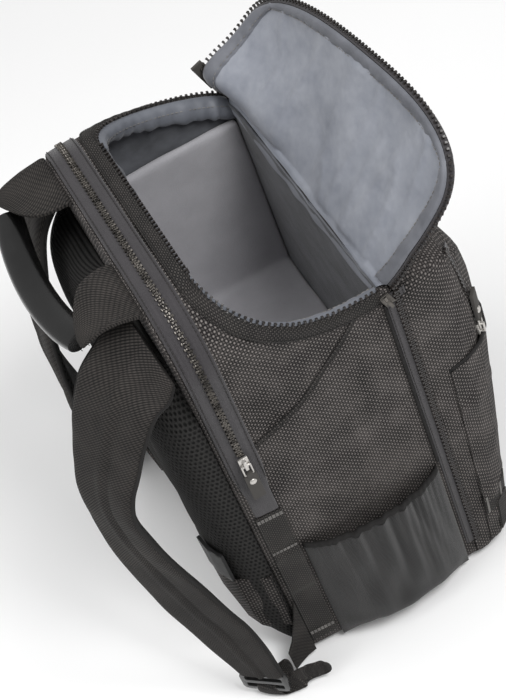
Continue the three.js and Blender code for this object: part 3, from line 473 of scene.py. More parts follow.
class Loom:
    """Builds one procedural material."""

    def __init__(self, name: str) -> None:
        """Starts a material with only its output."""
        self.material = bpy.data.materials.new(name)
        self.material.use_nodes = True
        self.tree = self.material.node_tree
        self.tree.nodes.clear()
        self.exit = self.tree.nodes.new("ShaderNodeOutputMaterial")

    def node(self, kind: str, settings: dict, values: dict) -> bpy.types.Node:
        """Adds a node.

        Args:
            kind: the node's type.
            settings: its own settings.
            values: numbers, colours or signals for its sockets.

        Returns:
            The node.
        """
        node = self.tree.nodes.new(kind)
        for key, value in settings.items():
            setattr(node, key, value)
        for key, value in values.items():
            if isinstance(value, Signal):
                self.tree.links.new(value.socket, node.inputs[key])
            else:
                node.inputs[key].default_value = value
        return node

    def add(self, kind: str, settings: dict, values: dict, out: object = 0) -> Signal:
        """Adds a node and returns one of its outputs."""
        return Signal(self, self.node(kind, settings, values).outputs[out])

    def cloth(self) -> tuple[Signal, Signal]:
        """Place along and across the cloth, in millimetres."""
        place = self.add("ShaderNodeUVMap", {"uv_map": "cloth"}, {})
        split = self.node("ShaderNodeSeparateXYZ", {}, {0: place})
        return Signal(self, split.outputs[0]), Signal(self, split.outputs[1])

    def room(self) -> Signal:
        """Place in the object, in metres."""
        return self.add("ShaderNodeTexCoord", {}, {}, "Object")

    def noise(self, scale: float, detail: float = 3.0, stretch: Sequence[float] = (1, 1, 1)) -> Signal:
        """Noise in the object's space.

        Args:
            scale: how many changes there are to a metre.
            detail: how many finer layers it has.
            stretch: scale along each axis.

        Returns:
            A value about a half.
        """
        place = self.add("ShaderNodeMapping", {}, {"Vector": self.room(), "Scale": tuple(stretch)})
        return self.add("ShaderNodeTexNoise", {}, {"Vector": place, "Scale": scale, "Detail": detail})

    def tint(self, share: object, first: object, second: object) -> Signal:
        """Colour between two."""
        return self.add("ShaderNodeMix", {"data_type": "RGBA"}, {0: share, 6: first, 7: second}, 2)

    def done(self, colour: object, rough: object, height: Optional[Signal] = None, deep: float = 0.3,
             **sockets: object) -> bpy.types.Material:
        """Finishes the material.

        Args:
            colour: base colour, plain or a signal.
            rough: roughness, plain or a signal.
            height: relief from nought to one.
            deep: how deep the relief is, in millimetres.
            sockets: plain values for other sockets, by name with _ for a space.

        Returns:
            The material.
        """
        values = {"Base Color": colour, "Roughness": rough}
        values.update({key.replace("_", " "): value for key, value in sockets.items()})
        if height is not None:
            relief = {"Height": height, "Distance": deep * MM, "Strength": 1.0}
            values["Normal"] = self.add("ShaderNodeBump", {}, relief)
        shader = self.add("ShaderNodeBsdfPrincipled", {}, values)
        self.tree.links.new(shader.socket, self.exit.inputs[0])
        return self.material


def tone(red: float, green: float, blue: float) -> tuple[float, float, float, float]:
    """Linear colour from display values up to 255."""
    def linear(value: float) -> float:
        """One channel."""
        share = value / 255
        return share / 12.92 if share <= 0.04045 else ((share + 0.055) / 1.055) ** 2.4
    return (linear(red), linear(green), linear(blue), 1.0)


class Binding(enum.Enum):
    """How a cloth's threads cross."""

    BASKET = "basket"
    TWILL = "twill"
    RIB = "rib"
    HERRINGBONE = "herringbone"


@dataclass(frozen=True)
class Cloth:
    """A woven cloth, in display colours and millimetres; its colour runs from low, painted shade between the
    threads, to high, painted highlight on their crowns.
    """

    name: str
    low: tuple[float, float, float]
    high: tuple[float, float, float]
    pitch: float
    binding: Binding
    rough: float = 0.85
    deep: float = 0.35
    sheen: float = 0.0

    def material(self) -> bpy.types.Material:
        """Makes the material."""
        loom = Loom(self.name)
        u, v = loom.cloth()
        pace = math.pi / self.pitch
        warp, weft = (u * pace).wave(), (v * pace).wave()
        if self.binding is Binding.BASKET:
            over = (warp * weft) > 0
            crown = warp.size() * weft.size()
            height = crown ** 0.6
            lift = crown ** 1.2 * (over * 0.85 + 0.42)
        elif self.binding is Binding.TWILL:
            diagonal = ((u + v) * pace).wave().size()
            crossing = ((u - v) * pace * 0.5).wave().size()
            height = diagonal * (crossing * 0.45 + 0.55)
            lift = height ** 1.5
        elif self.binding is Binding.HERRINGBONE:
            turned = ((u / (self.pitch * 4)).part() - 0.5).size() * (self.pitch * 4)
            height = ((turned + v) * pace).wave().size()
            lift = height * (weft.size() * 0.3 + 0.7)
        else:
            height = weft.size()
            lift = height * (warp.size() * 0.25 + 0.75)
        worn = loom.noise(38.0, 4.0)
        fine = loom.noise(900.0, 2.0)
        # lift paints light onto the weave: painted highlight on raised thread crowns and painted shade
        # between the threads; worn and fine add random tone.
        share = (lift * 0.8 + (worn - 0.5) * 0.5 + (fine - 0.5) * 0.5).clipped()
        colour = loom.tint(share, tone(*self.low), tone(*self.high))
        rough = (fine - 0.5) * 0.2 + self.rough
        return loom.done(colour, rough, height + fine * 0.3, self.deep, Sheen_Weight=self.sheen,
                         Specular_IOR_Level=0.3)


@dataclass(frozen=True)
class Satin:
    """Smooth lining cloth with soft creases, whose light and shade are painted into its colour."""

    name: str
    low: tuple[float, float, float]
    high: tuple[float, float, float]
    rough: float = 0.5
    crease: float = 0.8

    def material(self) -> bpy.types.Material:
        """Makes the material."""
        loom = Loom(self.name)
        u, v = loom.cloth()
        threads = (u * (math.pi / 0.5)).wave().size() * (v * (math.pi / 0.5)).wave().size()
        soft = loom.noise(34.0, 3.0, (1, 0.6, 1.4))
        fine = loom.noise(160.0, 4.0)
        # The colour follows soft, the crease relief: painted highlight on crease crowns and painted shade in
        # their hollows, with random tone from fine.
        share = ((soft - 0.5) * 1.6 + (fine - 0.5) * 0.6 + 0.5).clipped()
        colour = loom.tint(share, tone(*self.low), tone(*self.high))
        height = soft + fine * 0.16 + threads * 0.03
        return loom.done(colour, (fine - 0.5) * 0.2 + self.rough, height, self.crease,
                         Sheen_Weight=0.15, Specular_IOR_Level=0.4)


@dataclass(frozen=True)
class SpacerMesh:
    """Padded mesh with oval holes, ribbed across its crown."""

    name: str
    holes_until: float
    low: tuple[float, float, float] = (12, 12, 12)
    high: tuple[float, float, float] = (58, 57, 56)

    def material(self) -> bpy.types.Material:
        """Makes the material."""
        loom = Loom(self.name)
        u, v = loom.cloth()
        row = (v / 5.2).whole()
        shift = (row * 0.5).part()
        du = ((u / 3.8 + shift).part() - 0.5) * 2.4
        dv = ((v / 5.2).part() - 0.5) * 2.3
        solid = (du * du + dv * dv).clipped()
        ribs = (v * (math.pi / 4.2)).wave().size()
        crown = ((u - self.holes_until) * 0.25).clipped()
        body = solid * (1 - crown) + ribs * crown
        fine = loom.noise(700.0, 2.0)
        # The colour follows body, the mesh's relief: painted shade in the holes and between the ribs, painted
        # highlight on the solid mesh and rib crowns.
        share = (body * 0.75 + (fine - 0.5) * 0.5).clipped()
        colour = loom.tint(share, tone(*self.low), tone(*self.high))
        return loom.done(colour, 0.9, body + fine * 0.25, 1.1, Specular_IOR_Level=0.2)


@dataclass(frozen=True)
class StretchMesh:
    """Fine stretch mesh with upright folds."""

    name: str

    def material(self) -> bpy.types.Material:
        """Makes the material."""
        loom = Loom(self.name)
        u, v = loom.cloth()
        cells = (u * (math.pi / 1.1)).wave().size() * (v * (math.pi / 1.6)).wave().size()
        streaks = loom.noise(9.0, 4.0, (1, 7, 0.5))
        # The colour follows the relief: streaks paint shade and light along the upright folds, and cells
        # paint highlight on the raised thread pattern.
        share = (cells * 0.55 + (streaks - 0.42) * 1.5).clipped()
        colour = loom.tint(share, tone(3, 3, 3), tone(36, 34, 33))
        return loom.done(colour, 0.8, cells * 0.5 + streaks * 2.5, 0.7, Sheen_Weight=0.2,
                         Specular_IOR_Level=0.3)


@dataclass(frozen=True)
class Leather:
    """Smooth black leather with a fine grain."""

    name: str

    def material(self) -> bpy.types.Material:
        """Makes the material."""
        loom = Loom(self.name)
        cells = loom.add("ShaderNodeTexVoronoi", {}, {"Vector": loom.room(), "Scale": 900.0})
        soft = loom.noise(60.0, 3.0)
        colour = loom.tint(soft, tone(3, 3, 3), tone(10, 10, 10))
        return loom.done(colour, soft * 0.2 + 0.14, cells * 0.5 + soft * 0.4, 0.15, Coat_Weight=0.5,
                         Coat_Roughness=0.15)


@dataclass(frozen=True)
class Moulded:
    """Moulded plastic or cast metal with small scratches."""

    name: str
    low: tuple[float, float, float]
    high: tuple[float, float, float]
    rough: float
    metal: float = 0.0

    def material(self) -> bpy.types.Material:
        """Makes the material."""
        loom = Loom(self.name)
        wear = loom.noise(120.0, 4.0)
        scratches = loom.noise(900.0, 2.0, (1, 0.15, 1))
        colour = loom.tint((wear - 0.3) * 1.6, tone(*self.low), tone(*self.high))
        rough = (wear - 0.5) * 0.3 + self.rough
        return loom.done(colour, rough, scratches, 0.06, Metallic=self.metal)


@dataclass(frozen=True)
class Foam:
    """Light brushed cloth over foam."""

    name: str

    def material(self) -> bpy.types.Material:
        """Makes the material."""
        loom = Loom(self.name)
        nap = loom.noise(1400.0, 3.0)
        soft = loom.noise(30.0, 3.0)
        share = ((nap - 0.5) * 0.8 + (soft - 0.5) * 0.9 + 0.5).clipped()
        colour = loom.tint(share, tone(150, 149, 153), tone(180, 179, 183))
        return loom.done(colour, 0.95, nap * 0.6 + soft * 2.0, 0.5, Sheen_Weight=0.3,
                         Specular_IOR_Level=0.2)


class Finish(enum.Enum):
    """Every finish on the bag, with the slot of the record that it belongs to."""

    WEAVE = (Cloth("ballistic_weave", (7, 6, 6), (128, 122, 119), 2.3, Binding.BASKET), "woven_shell")
    TWILL = (Cloth("strap_twill", (5, 5, 5), (70, 66, 63), 2.6, Binding.TWILL), "woven_shell")
    LOOP = (Cloth("strap_herringbone", (4, 4, 4), (60, 57, 55), 2.6, Binding.HERRINGBONE), "woven_shell")
    TAPE = (Cloth("zip_tape", (36, 34, 36), (64, 61, 64), 0.9, Binding.HERRINGBONE, 0.6, 0.12, 0.2),
            "webbing_tape")
    WEBBING = (Cloth("webbing", (6, 6, 6), (82, 78, 75), 1.7, Binding.BASKET, 0.75, 0.35), "webbing_tape")
    BINDING = (Cloth("elastic_binding", (7, 7, 7), (38, 36, 35), 1.0, Binding.RIB, 0.8, 0.2),
               "webbing_tape")
    PULL = (Cloth("pull_webbing", (5, 5, 5), (62, 59, 56), 1.8, Binding.BASKET), "pull_webbing")
    LINING = (Satin("lid_satin", (118, 122, 132), (150, 153, 161), 0.4), "grey_lining")
    BORDER = (Satin("border_satin", (80, 82, 88), (112, 114, 121), 0.5, 0.6), "border_binding")
    # Border satin for the mouth, toned down from its lit value: painted shade where it lies inside the mouth.
    EDGE = (Satin("shaded_mouth_satin", (86, 89, 96), (112, 115, 122), 0.5, 0.4), "border_binding")
    # Darker copy of the grey lining for the main compartment: painted shade inside the bag's mouth.
    INSIDE = (Satin("shaded_inside_lining", (58, 59, 62), (96, 98, 103), 0.6, 1.2), "grey_lining")
    FOAM = (Foam("padded_nap"), "grey_padding")
    PAD = (SpacerMesh("pad_mesh", 40.0), "spacer_mesh")
    STRAP_MESH = (SpacerMesh("strap_mesh", 1000.0), "spacer_mesh")
    NET = (StretchMesh("stretch_net"), "stretch_mesh")
    LEATHER = (Leather("grip_leather"), "black_leather")
    TEETH = (Moulded("tooth_resin", (22, 19, 18), (50, 44, 41), 0.35), "zip_teeth")
    GUNMETAL = (Moulded("gunmetal_teeth", (44, 42, 40), (126, 121, 115), 0.3, 0.8), "zip_teeth")
    NICKEL = (Moulded("nickel", (120, 119, 117), (204, 202, 198), 0.22, 1.0), "nickel")
    PLASTIC = (Moulded("black_plastic", (6, 6, 7), (18, 18, 19), 0.34), "black_plastic")
    TIP = (Moulded("dull_plastic", (8, 8, 9), (20, 20, 21), 0.6), "black_plastic")
    THREAD = (Moulded("stitch_thread", (96, 94, 92), (150, 147, 143), 0.7), "pull_webbing")
    DARK_THREAD = (Moulded("dark_thread", (22, 21, 20), (52, 49, 46), 0.7), "webbing_tape")

    def on(self, piece: bpy.types.Object) -> None:
        """Puts the finish on a piece, once more at the end of its list."""
        recipe, slot_name = self.value
        material = bpy.data.materials.get(recipe.name) or recipe.material()
        piece.data.materials.append(material)
        if "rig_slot" not in piece:
            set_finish(piece, slot_name)


def fitted(piece: bpy.types.Object, finish: Finish, nodes: Iterable[str] = (),
           body: str = BODY) -> bpy.types.Object:
    """Finishes a piece and ties it to its body.

    Args:
        piece: the object.
        finish: what it is made of.
        nodes: the frame nodes that it stands for.
        body: the body that it moves with.

    Returns:
        The piece.
    """
    finish.on(piece)
    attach(piece, body)
    names = list(nodes)
    if names:
        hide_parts(*names)
    LOG.info("%s: %d faces, on %s", piece.name, len(piece.data.polygons), body)
    return piece


# Patterns for what repeats: a zip tooth and a stitch


class Patterns:
    """Small shapes that are modelled once, in millimetres."""

    def __init__(self) -> None:
        """Models each shape."""
        self.tooth = self._tooth()
        self.stitch = self._stitch()

    def _kept(self, name: str) -> bpy.types.Object:
        """Takes the active object out of the scene and returns it."""
        piece = bpy.context.object
        piece.name = name
        for holder in list(piece.users_collection):
            holder.objects.unlink(piece)
        return piece

    def _pick(self, piece: bpy.types.Object, sign: int) -> None:
        """Selects the end face that looks along x, or against it."""
        bpy.ops.mesh.select_mode(type="FACE")
        bpy.ops.mesh.select_all(action="DESELECT")
        shape = bmesh.from_edit_mesh(piece.data)
        for face in shape.faces:
            if face.normal.x * sign > 0.9:
                face.select_set(True)
        bmesh.update_edit_mesh(piece.data)

    def _tooth(self) -> bpy.types.Object:
        """Zip tooth with a narrow neck and a wide head, along x."""
        bpy.ops.object.select_all(action="DESELECT")
        bpy.ops.mesh.primitive_cube_add(size=1)
        piece = bpy.context.object
        piece.scale = (1.4, 2.1, 2.6)
        piece.location = (0.7, 0, 0)
        bpy.ops.object.transform_apply(location=True, scale=True)
        bpy.ops.object.mode_set(mode="EDIT")
        self._pick(piece, 1)
        for move, wide, high in ((0.2, 0.62, 0.85), (1.5, 1.0, 1.0), (0.5, 1.75, 1.1), (1.0, 0.86, 0.9)):
            bpy.ops.mesh.extrude_region_move(TRANSFORM_OT_translate={"value": (move, 0, 0)})
            bpy.ops.transform.resize(value=(1, wide, high))
        bpy.ops.object.mode_set(mode="OBJECT")
        apply(piece, "BEVEL", width=0.18, segments=1, limit_method="ANGLE", angle_limit=0.6)
        return self._kept("tooth_pattern")

    def _stitch(self) -> bpy.types.Object:
        """One stitch, a short rounded thread along x."""
        bpy.ops.object.select_all(action="DESELECT")
        bpy.ops.mesh.primitive_cylinder_add(vertices=6, radius=0.36, depth=2.2, rotation=(0, math.pi / 2, 0))
        piece = bpy.context.object
        bpy.ops.object.transform_apply(rotation=True)
        bpy.ops.object.mode_set(mode="EDIT")
        for sign in (-1, 1):
            self._pick(piece, sign)
            bpy.ops.mesh.extrude_region_move(TRANSFORM_OT_translate={"value": (0.35 * sign, 0, -0.12)})
            bpy.ops.transform.resize(value=(1, 0.45, 0.45))
        bpy.ops.object.mode_set(mode="OBJECT")
        return self._kept("stitch_pattern")

    def teeth(self, name: str, line: np.ndarray, ways: np.ndarray, faces: np.ndarray,
              closed: bool = False, pitch: float = 4.9, root: float = 0.0,
              finish: Finish = Finish.TEETH, nodes: Iterable[str] = ()) -> bpy.types.Object:
        """Row of zip teeth, or two rows that lock.

        Args:
            name: the piece's name.
            line: where the teeth start, or the middle line of a closed zip.
            ways: which way the teeth point at each point of the line.
            faces: which way the zip's face looks.
            closed: makes two rows that point at each other.
            pitch: distance between teeth of one row, in millimetres.
            root: how far behind the line a tooth starts.
            finish: the teeth's finish.
            nodes: the frame nodes that it stands for.

        Returns:
            The piece.
        """
        count = max(int(line_length(line) / pitch), 2)
        along, way, face = (resampled(a, 2 * count, line) for a in (line, ways, faces))
        way = unit(way)
        if closed:
            places = stood(along[::2] - way[::2] * root, way[::2], face[::2])
            places += stood(along[1::2] + way[1::2] * root, -way[1::2], face[1::2])
        else:
            places = stood(along[::2] - way[::2] * root, way[::2], face[::2])
        return fitted(strewn(name, self.tooth, places), finish, nodes)

    def stitches(self, name: str, lines: Sequence[np.ndarray], faces: Sequence[np.ndarray],
                 pitch: float = 4.0, finish: Finish = Finish.THREAD, body: str = BODY) -> bpy.types.Object:
        """Lines of stitches.

        Args:
            name: the piece's name.
            lines: where each seam runs.
            faces: which way the cloth looks along each.
            pitch: from one stitch to the next, in millimetres.
            finish: the thread.
            body: what it moves with.

        Returns:
            The piece.
        """
        places = []
        for line, face in zip(lines, faces):
            count = max(int(line_length(line) / pitch), 2)
            at, look = (resampled(a, count, line) for a in (line, face))
            places += stood(at, tangents(at), look)
        return fitted(strewn(name, self.stitch, places), finish, (), body)


SIDES = {"near": -1.0, "far": 1.0}


# The main compartment with its mouth


@dataclass
class MainCompartment:
    """Walls, lining, tray and seams of the camera compartment."""

    patterns: Patterns
    cell: float = 6.0
    seam: tuple = ((-45, 372), (-29, 356), (-6, 337), (18, 317), (40, 306), (62, 297), (66, 295))
    seam_wide: float = 2.6
    seam_high: float = 1.1

    def build(self) -> None:
        """Builds every piece."""
        self.shell()
        self.lining()
        self.tray()
        self.side_seams()

    def shell(self) -> None:
        """Woven walls with soft unevenness."""
        piece = frame_copy("shell_walls", "main_shell")
        gridded(piece, self.cell)

        def ease(at: np.ndarray, normal: np.ndarray) -> np.ndarray:
            """Gives the walls their true corners and a little slack."""
            new = true_corners(at, (0.0, 7.0))
            side = np.abs(normal[:, 0]) ** 2 * (np.abs(at[:, 0]) > 142)
            slack = 0.7 * swirl(at, 120.0, 3) * side * np.clip((370 - at[:, 2]) / 60, 0, 1)
            new[:, 0] -= np.sign(at[:, 0]) * np.maximum(slack, 0) * 0.8
            shoulder = np.clip((at[:, 1] - 25) / 20, 0, 1) * np.clip((at[:, 2] - 240) / 60, 0, 1)
            folds = np.maximum(swirl(at * [0.5, 2.0, 0.5], 55.0, 9), 0) * 1.9
            return new - normal * (folds * shoulder * (np.abs(normal[:, 1]) < 0.5))[:, None]

        moved(piece, ease)
        box_map(piece)
        smooth(piece, 38.0)
        fitted(piece, Finish.WEAVE, ["main_shell"])

    def lining(self) -> None:
        """Thin lining with gathers under the mouth."""
        piece = frame_copy("inner_lining", "main_lining")
        gridded(piece, self.cell)

        def gather(at: np.ndarray, normal: np.ndarray) -> np.ndarray:
            """Puckers the cloth towards the middle of the bag."""
            new = true_corners(at, (7.35, 8.85))
            way = unit(np.stack([at[:, 0], 1.6 * at[:, 1], np.zeros(len(at))], axis=1))
            pull = np.clip((at[:, 2] - 330) / 60, 0, 1) * np.maximum(swirl(at, 26.0, 8), 0) * 1.6
            return new - way * pull[:, None]

        moved(piece, gather)
        box_map(piece)
        smooth(piece, 40.0)
        fitted(piece, Finish.INSIDE, ["main_lining"])

    def tray(self) -> None:
        """Padded tray walls and floor."""
        piece = frame_copy("padded_tray", "padded_insert")
        apply(piece, "REMESH", mode="VOXEL", voxel_size=3.4 * MM)
        apply(piece, "SMOOTH", factor=0.5, iterations=5)
        moved(piece, lambda at, normal: at + normal * (0.5 * swirl(at, 70.0, 5))[:, None])
        box_map(piece)
        smooth(piece)
        fitted(piece, Finish.FOAM, ["padded_insert"])

    def side_seams(self) -> None:
        """Raised slanting seam on both sides, with its stitches."""
        line = smooth_line([(0, y, z) for y, z in self.seam], 70)
        for side, sign in SIDES.items():
            rows = []
            for (_, y, z), (_, ty, tz) in zip(line, tangents(line)):
                profile = []
                for k in np.linspace(-1, 1, 7):
                    over = k * self.seam_wide / 2
                    lift = 0.15 + self.seam_high * math.sqrt(max(1 - k * k, 0.0))
                    profile.append((sign * (bag_half(y - tz * over) + lift), y - tz * over, z + ty * over))
                rows.append(profile)
            welt = woven_grid(f"slant_seam_{side}", np.array(rows), thick=0.6, offset=-1 * sign)
            fitted(welt, Finish.WEBBING)
            stitched, looks = line.copy(), np.tile([sign, 0, 0], (len(line), 1))
            stitched[:, 0] = sign * (148 - 3 * (line[:, 1] / 80) ** 2 + 0.2)
            stitched[:, 2] -= 4.2
            self.patterns.stitches(f"slant_stitches_{side}", [stitched], [looks], 3.6, Finish.DARK_THREAD)


@dataclass
class Mouth:
    """Zip tape, teeth and gathered border round the open mouth."""

    patterns: Patterns
    front: float = -69.0
    back: float = 55.0
    near_rise: tuple[float, float] = (2.5, 0.8)
    far_rise: tuple[float, float] = (0.75, 0.68)
    steps: int = 44
    samples: int = 420
    border: tuple = ((3.4, -0.8), (5.4, -1.8), (8.0, -1.2), (10.6, 0.8), (13.0, 3.4), (15.0, 6.6),
                     (16.2, 10.0), (16.4, 13.5), (14.0, 15.8))
    tape: tuple = ((-0.5, 9.4), (-1.5, 8.2), (-1.7, 5.0), (-1.7, 1.0), (-1.2, -0.7), (1.0, -1.3), (3.6, -1.0))

    def rim(self, inset: float, deeper: float) -> np.ndarray:
        """Line along the mouth's edge.

        Args:
            inset: how far under the bag's skin it runs.
            deeper: how far into the cloth from the edge.

        Returns:
            Points from the near front end round the back to the far front end.
        """
        edges = []
        for power, curve in (self.near_rise, self.far_rise):
            share = 1 - (1 - np.linspace(0, 1, self.steps + 1)) ** 1.5
            rise = 1 - (1 - share ** power) ** curve
            line = np.stack([self.front + (self.back - self.front) * share, 377 + 68 * rise], axis=1)
            slope = np.gradient(line, axis=0)
            slope[0], slope[-1] = (1, 0), (0, 1)
            slope = unit(slope)
            edges.append(line + deeper * np.stack([slope[:, 1], -slope[:, 0]], axis=1))
        near, far = edges
        sides = []
        for sign in (-1.0, 1.0):
            points = []
            for a, b in zip(near, far):
                x = sign * 148.0
                for _ in range(24):
                    y, z = a + (b - a) * (x / 148 + 1) / 2
                    x = 0.5 * x + 0.5 * sign * outline_half(y, z, inset)
                points.append((x, y, min(z, 445 - inset)))
            sides.append(points)
        top = [(x, self.back + deeper, 445 - inset) for x in np.linspace(-88, 88, 26)[1:-1]]
        return np.array(sides[0] + top + sides[1][::-1])

    def band(self, name: str, profile: Sequence[tuple[float, float]], thick: float,
             pucker: float = 0.0) -> bpy.types.Object:
        """Cloth band round the mouth through lines at given insets and depths."""
        guide = self.rim(0, 0)
        lines = [resampled(self.rim(*row), self.samples, guide) for row in profile]
        grid = np.stack(lines, axis=1)
        if pucker:
            along = np.linspace(0, line_length(guide), self.samples)
            wave = np.sin(along / 2.1 + 2.2 * np.sin(along / 17)) + 0.8 * np.sin(along / 5.3 + 1)
            share = np.linspace(0, 1, len(profile)) ** 1.2
            normals = grid_normals(grid)
            grid = grid + normals * (pucker * wave[:, None] * share)[..., None]
        return woven_grid(name, grid, thick=thick)

    def build(self) -> None:
        """Builds every piece."""
        fitted(self.band("mouth_zip_tape", self.tape, 0.8, 0.25), Finish.WEBBING, ["mouth_tape"])
        fitted(self.band("mouth_border_band", self.border, 0.9, 0.8), Finish.EDGE, ["mouth_border"])
        guide = self.rim(0, 0)
        root, tip = self.rim(2.0, -0.6), self.rim(2.0, -1.6)
        ways = unit(tip - root)
        self.patterns.teeth("mouth_teeth", resampled(root, self.samples, guide),
                            resampled(ways, self.samples, guide),
                            resampled(np.cross(ways, tangents(root)), self.samples, guide),
                            nodes=["mouth_chain"])
        seam = resampled(self.rim(13.7, 3.2), self.samples, guide)
        inner = resampled(self.rim(15.4, 1.8), self.samples, guide)
        self.patterns.stitches("mouth_stitches", [seam], [inner - seam], 4.2)
        outer = resampled(self.rim(-2.2, 7.6), self.samples, guide)
        self.patterns.stitches("tape_stitches", [outer], [outer - seam], 3.6, Finish.DARK_THREAD)


@dataclass
class Lid:
    """The padded lid, folded forward, with its satin lining and zip."""

    patterns: Patterns
    lean: float = 36.6
    height: float = 130.0
    widest: float = 157.0
    widest_at: float = 67.0
    curl: float = 6.0
    padding: float = 5.0
    rows: int = 64
    columns: int = 96
    border_wide: float = 15.0
    sheet: np.ndarray = field(init=False)

    def half(self) -> tuple[np.ndarray, np.ndarray]:
        """Side and top of half the lid's outline, as points across and up."""
        side = [(144 + (self.widest - 144) * (1 - (1 - s) ** 2), self.widest_at * s)
                for s in np.linspace(0, 1, 12, endpoint=False)]

        def turn(angle: float) -> tuple[float, float]:
            """Point of the rounded end."""
            power = 2 / 2.8
            c, s = max(math.cos(angle), 0.0) ** power, max(math.sin(angle), 0.0) ** power
            return (self.widest * c, self.widest_at + (self.height - self.widest_at) * s)

        corner = math.radians(90 * 5 / 14)
        side += [turn(a) for a in np.linspace(0, corner, 16)]
        top = [turn(a) for a in np.linspace(corner, math.pi / 2, 60)]
        top += [(-x, z) for x, z in reversed(top[:-1])]
        return np.array(side), np.array(top)

    def surface(self) -> np.ndarray:
        """Grid of the lid's face, from its fold to its free edge."""
        side, top = self.half()
        lean = math.radians(self.lean)
        up = np.array([0, -math.sin(lean), math.cos(lean)])
        face = np.array([0, math.cos(lean), math.sin(lean)])
        origin = np.array([0, -78, 377.85 + (self.padding + 0.35) * math.sin(lean)])
        v = np.linspace(0, 1, self.rows + 1)[:, None]
        u = np.linspace(0, 1, self.columns + 1)[None, :]
        right = resampled(side, self.rows + 1)
        over = resampled(top, self.columns + 1)[::-1]
        fold = -144 + 288 * u
        end = side[-1]
        x = (fold * (1 - v) + over[None, :, 0] * v + right[:, :1] * (2 * u - 1)
             - (fold * (1 - v) + end[0] * (2 * u - 1) * v))
        q = over[None, :, 1] * v + right[:, 1:] - end[1] * v
        edge = 1 - (1 - np.abs(2 * u - 1) ** 8 * np.minimum(1, 3 * v)) * (1 - v ** 8)
        far = np.maximum(0, 2 * u - 1) ** 2 * (v / 0.14) * np.exp(1 - v / 0.14)
        lift = self.curl * edge + 28 * far
        return (origin + (x - 0.18 * q)[..., None] * np.array([1.0, 0, 0])
                + (q * (1 - 0.12 * x / 148))[..., None] * up + lift[..., None] * face)

    def at(self, u: np.ndarray, v: np.ndarray) -> np.ndarray:
        """Points of the surface at shares across and up."""
        x = np.clip(u, 0, 1) * self.columns
        y = np.clip(v, 0, 1) * self.rows
        j, i = np.minimum(x.astype(int), self.columns - 1), np.minimum(y.astype(int), self.rows - 1)
        a, b = (x - j)[:, None], (y - i)[:, None]
        s = self.sheet
        return ((s[i, j] * (1 - a) + s[i, j + 1] * a) * (1 - b)
                + (s[i + 1, j] * (1 - a) + s[i + 1, j + 1] * a) * b)

    def rim(self, inward: float, count: int = 420) -> np.ndarray:
        """Line round the free edge, moved inward by a distance."""
        n = 120
        wide = np.linalg.norm(np.diff(self.sheet, axis=1), axis=2).sum(axis=1)
        high = np.linalg.norm(np.diff(self.sheet, axis=0), axis=2).sum(axis=0)
        t = np.linspace(0, 1, n)
        du = inward / np.interp(t, np.linspace(0, 1, len(wide)), wide)
        dv = inward / np.interp(t, np.linspace(0, 1, len(high)), high)
        near = (du, t * (1 - dv[0]))
        top = (du[-1] + t * (1 - 2 * du[-1]), 1 - dv)
        far = (1 - du[::-1], (t * (1 - dv[-1]))[::-1])
        u = np.concatenate([near[0], top[0][1:-1], far[0]])
        v = np.concatenate([near[1], top[1][1:-1], far[1]])
        line = self.at(u, v)
        guide = line if inward == 0 else self.at(*self._edge(n))
        return resampled(line, count, guide)

    def _edge(self, n: int) -> tuple[np.ndarray, np.ndarray]:
        """Shares along the free edge itself."""
        t = np.linspace(0, 1, n)
        u = np.concatenate([np.zeros(n), t[1:-1], np.ones(n)])
        v = np.concatenate([t, np.ones(n - 2), t[::-1]])
        return u, v

    def build(self) -> None:
        """Builds every piece."""
        self.sheet = self.surface()
        normals = grid_normals(self.sheet)
        if normals[self.rows // 2, self.columns // 2, 1] < 0:
            normals = -normals
        self.lining(normals)
        shell = woven_grid("lid_shell", self.sheet - normals * 2.9, thick=self.padding)
        fitted(shell, Finish.WEAVE, ["lid_panel"])
        self.edge_trim()

    def lining(self, normals: np.ndarray) -> None:
        """Satin lining with soft folds, and its flap inside the mouth."""
        v = np.linspace(0, 1, self.rows + 1)[:, None]
        u = np.linspace(0, 1, self.columns + 1)[None, :]
        inner = np.clip(8 * np.minimum(np.minimum(u, 1 - u), np.minimum(v + 0.1, 1 - v)), 0, 1)
        folds = (2.4 * swirl(self.sheet * [1.3, 0.6, 0.6], 80.0, 21) + 0.7 * swirl(self.sheet, 48.0, 22)
                 + 1.5 * (1 - np.abs(swirl(self.sheet * [1.7, 0.5, 0.5], 85.0, 23))).clip(0, 1) ** 4)
        puckers = 0.5 * np.sin(self.sheet[..., 0] / 3.1) * np.exp(-((1 - v) / 0.14) ** 2)
        face = self.sheet + normals * (0.9 + inner * np.maximum(folds + 1.4, 0) + inner * puckers)[..., None]
        fold = self.sheet[0]
        spread = np.linspace(-1, 1, self.columns + 1)
        flap = []
        for k in np.linspace(0, 1, 9)[:-1]:
            drop = 17 * (0.7 + 0.3 * (1 - spread ** 4)) * (1 - k) ** 1.3
            deep = -68.6 + (fold[:, 1] + 68.6) * k ** 2.4
            height = 379.0 - drop + (fold[:, 2] - 379.0 + 1.2) * k
            x = fold[:, 0] * (128 / 144 + (1 - 128 / 144) * k)
            ripple = 0.7 * np.sin(x / 9 + 2 * np.sin(x / 31)) * (1 - k)
            flap.append(np.stack([x, deep + ripple, height], axis=1))
        grid = np.concatenate([np.array(flap), face])
        fitted(woven_grid("lid_satin_lining", grid, thick=1.0), Finish.LINING, ["lid_lining"])

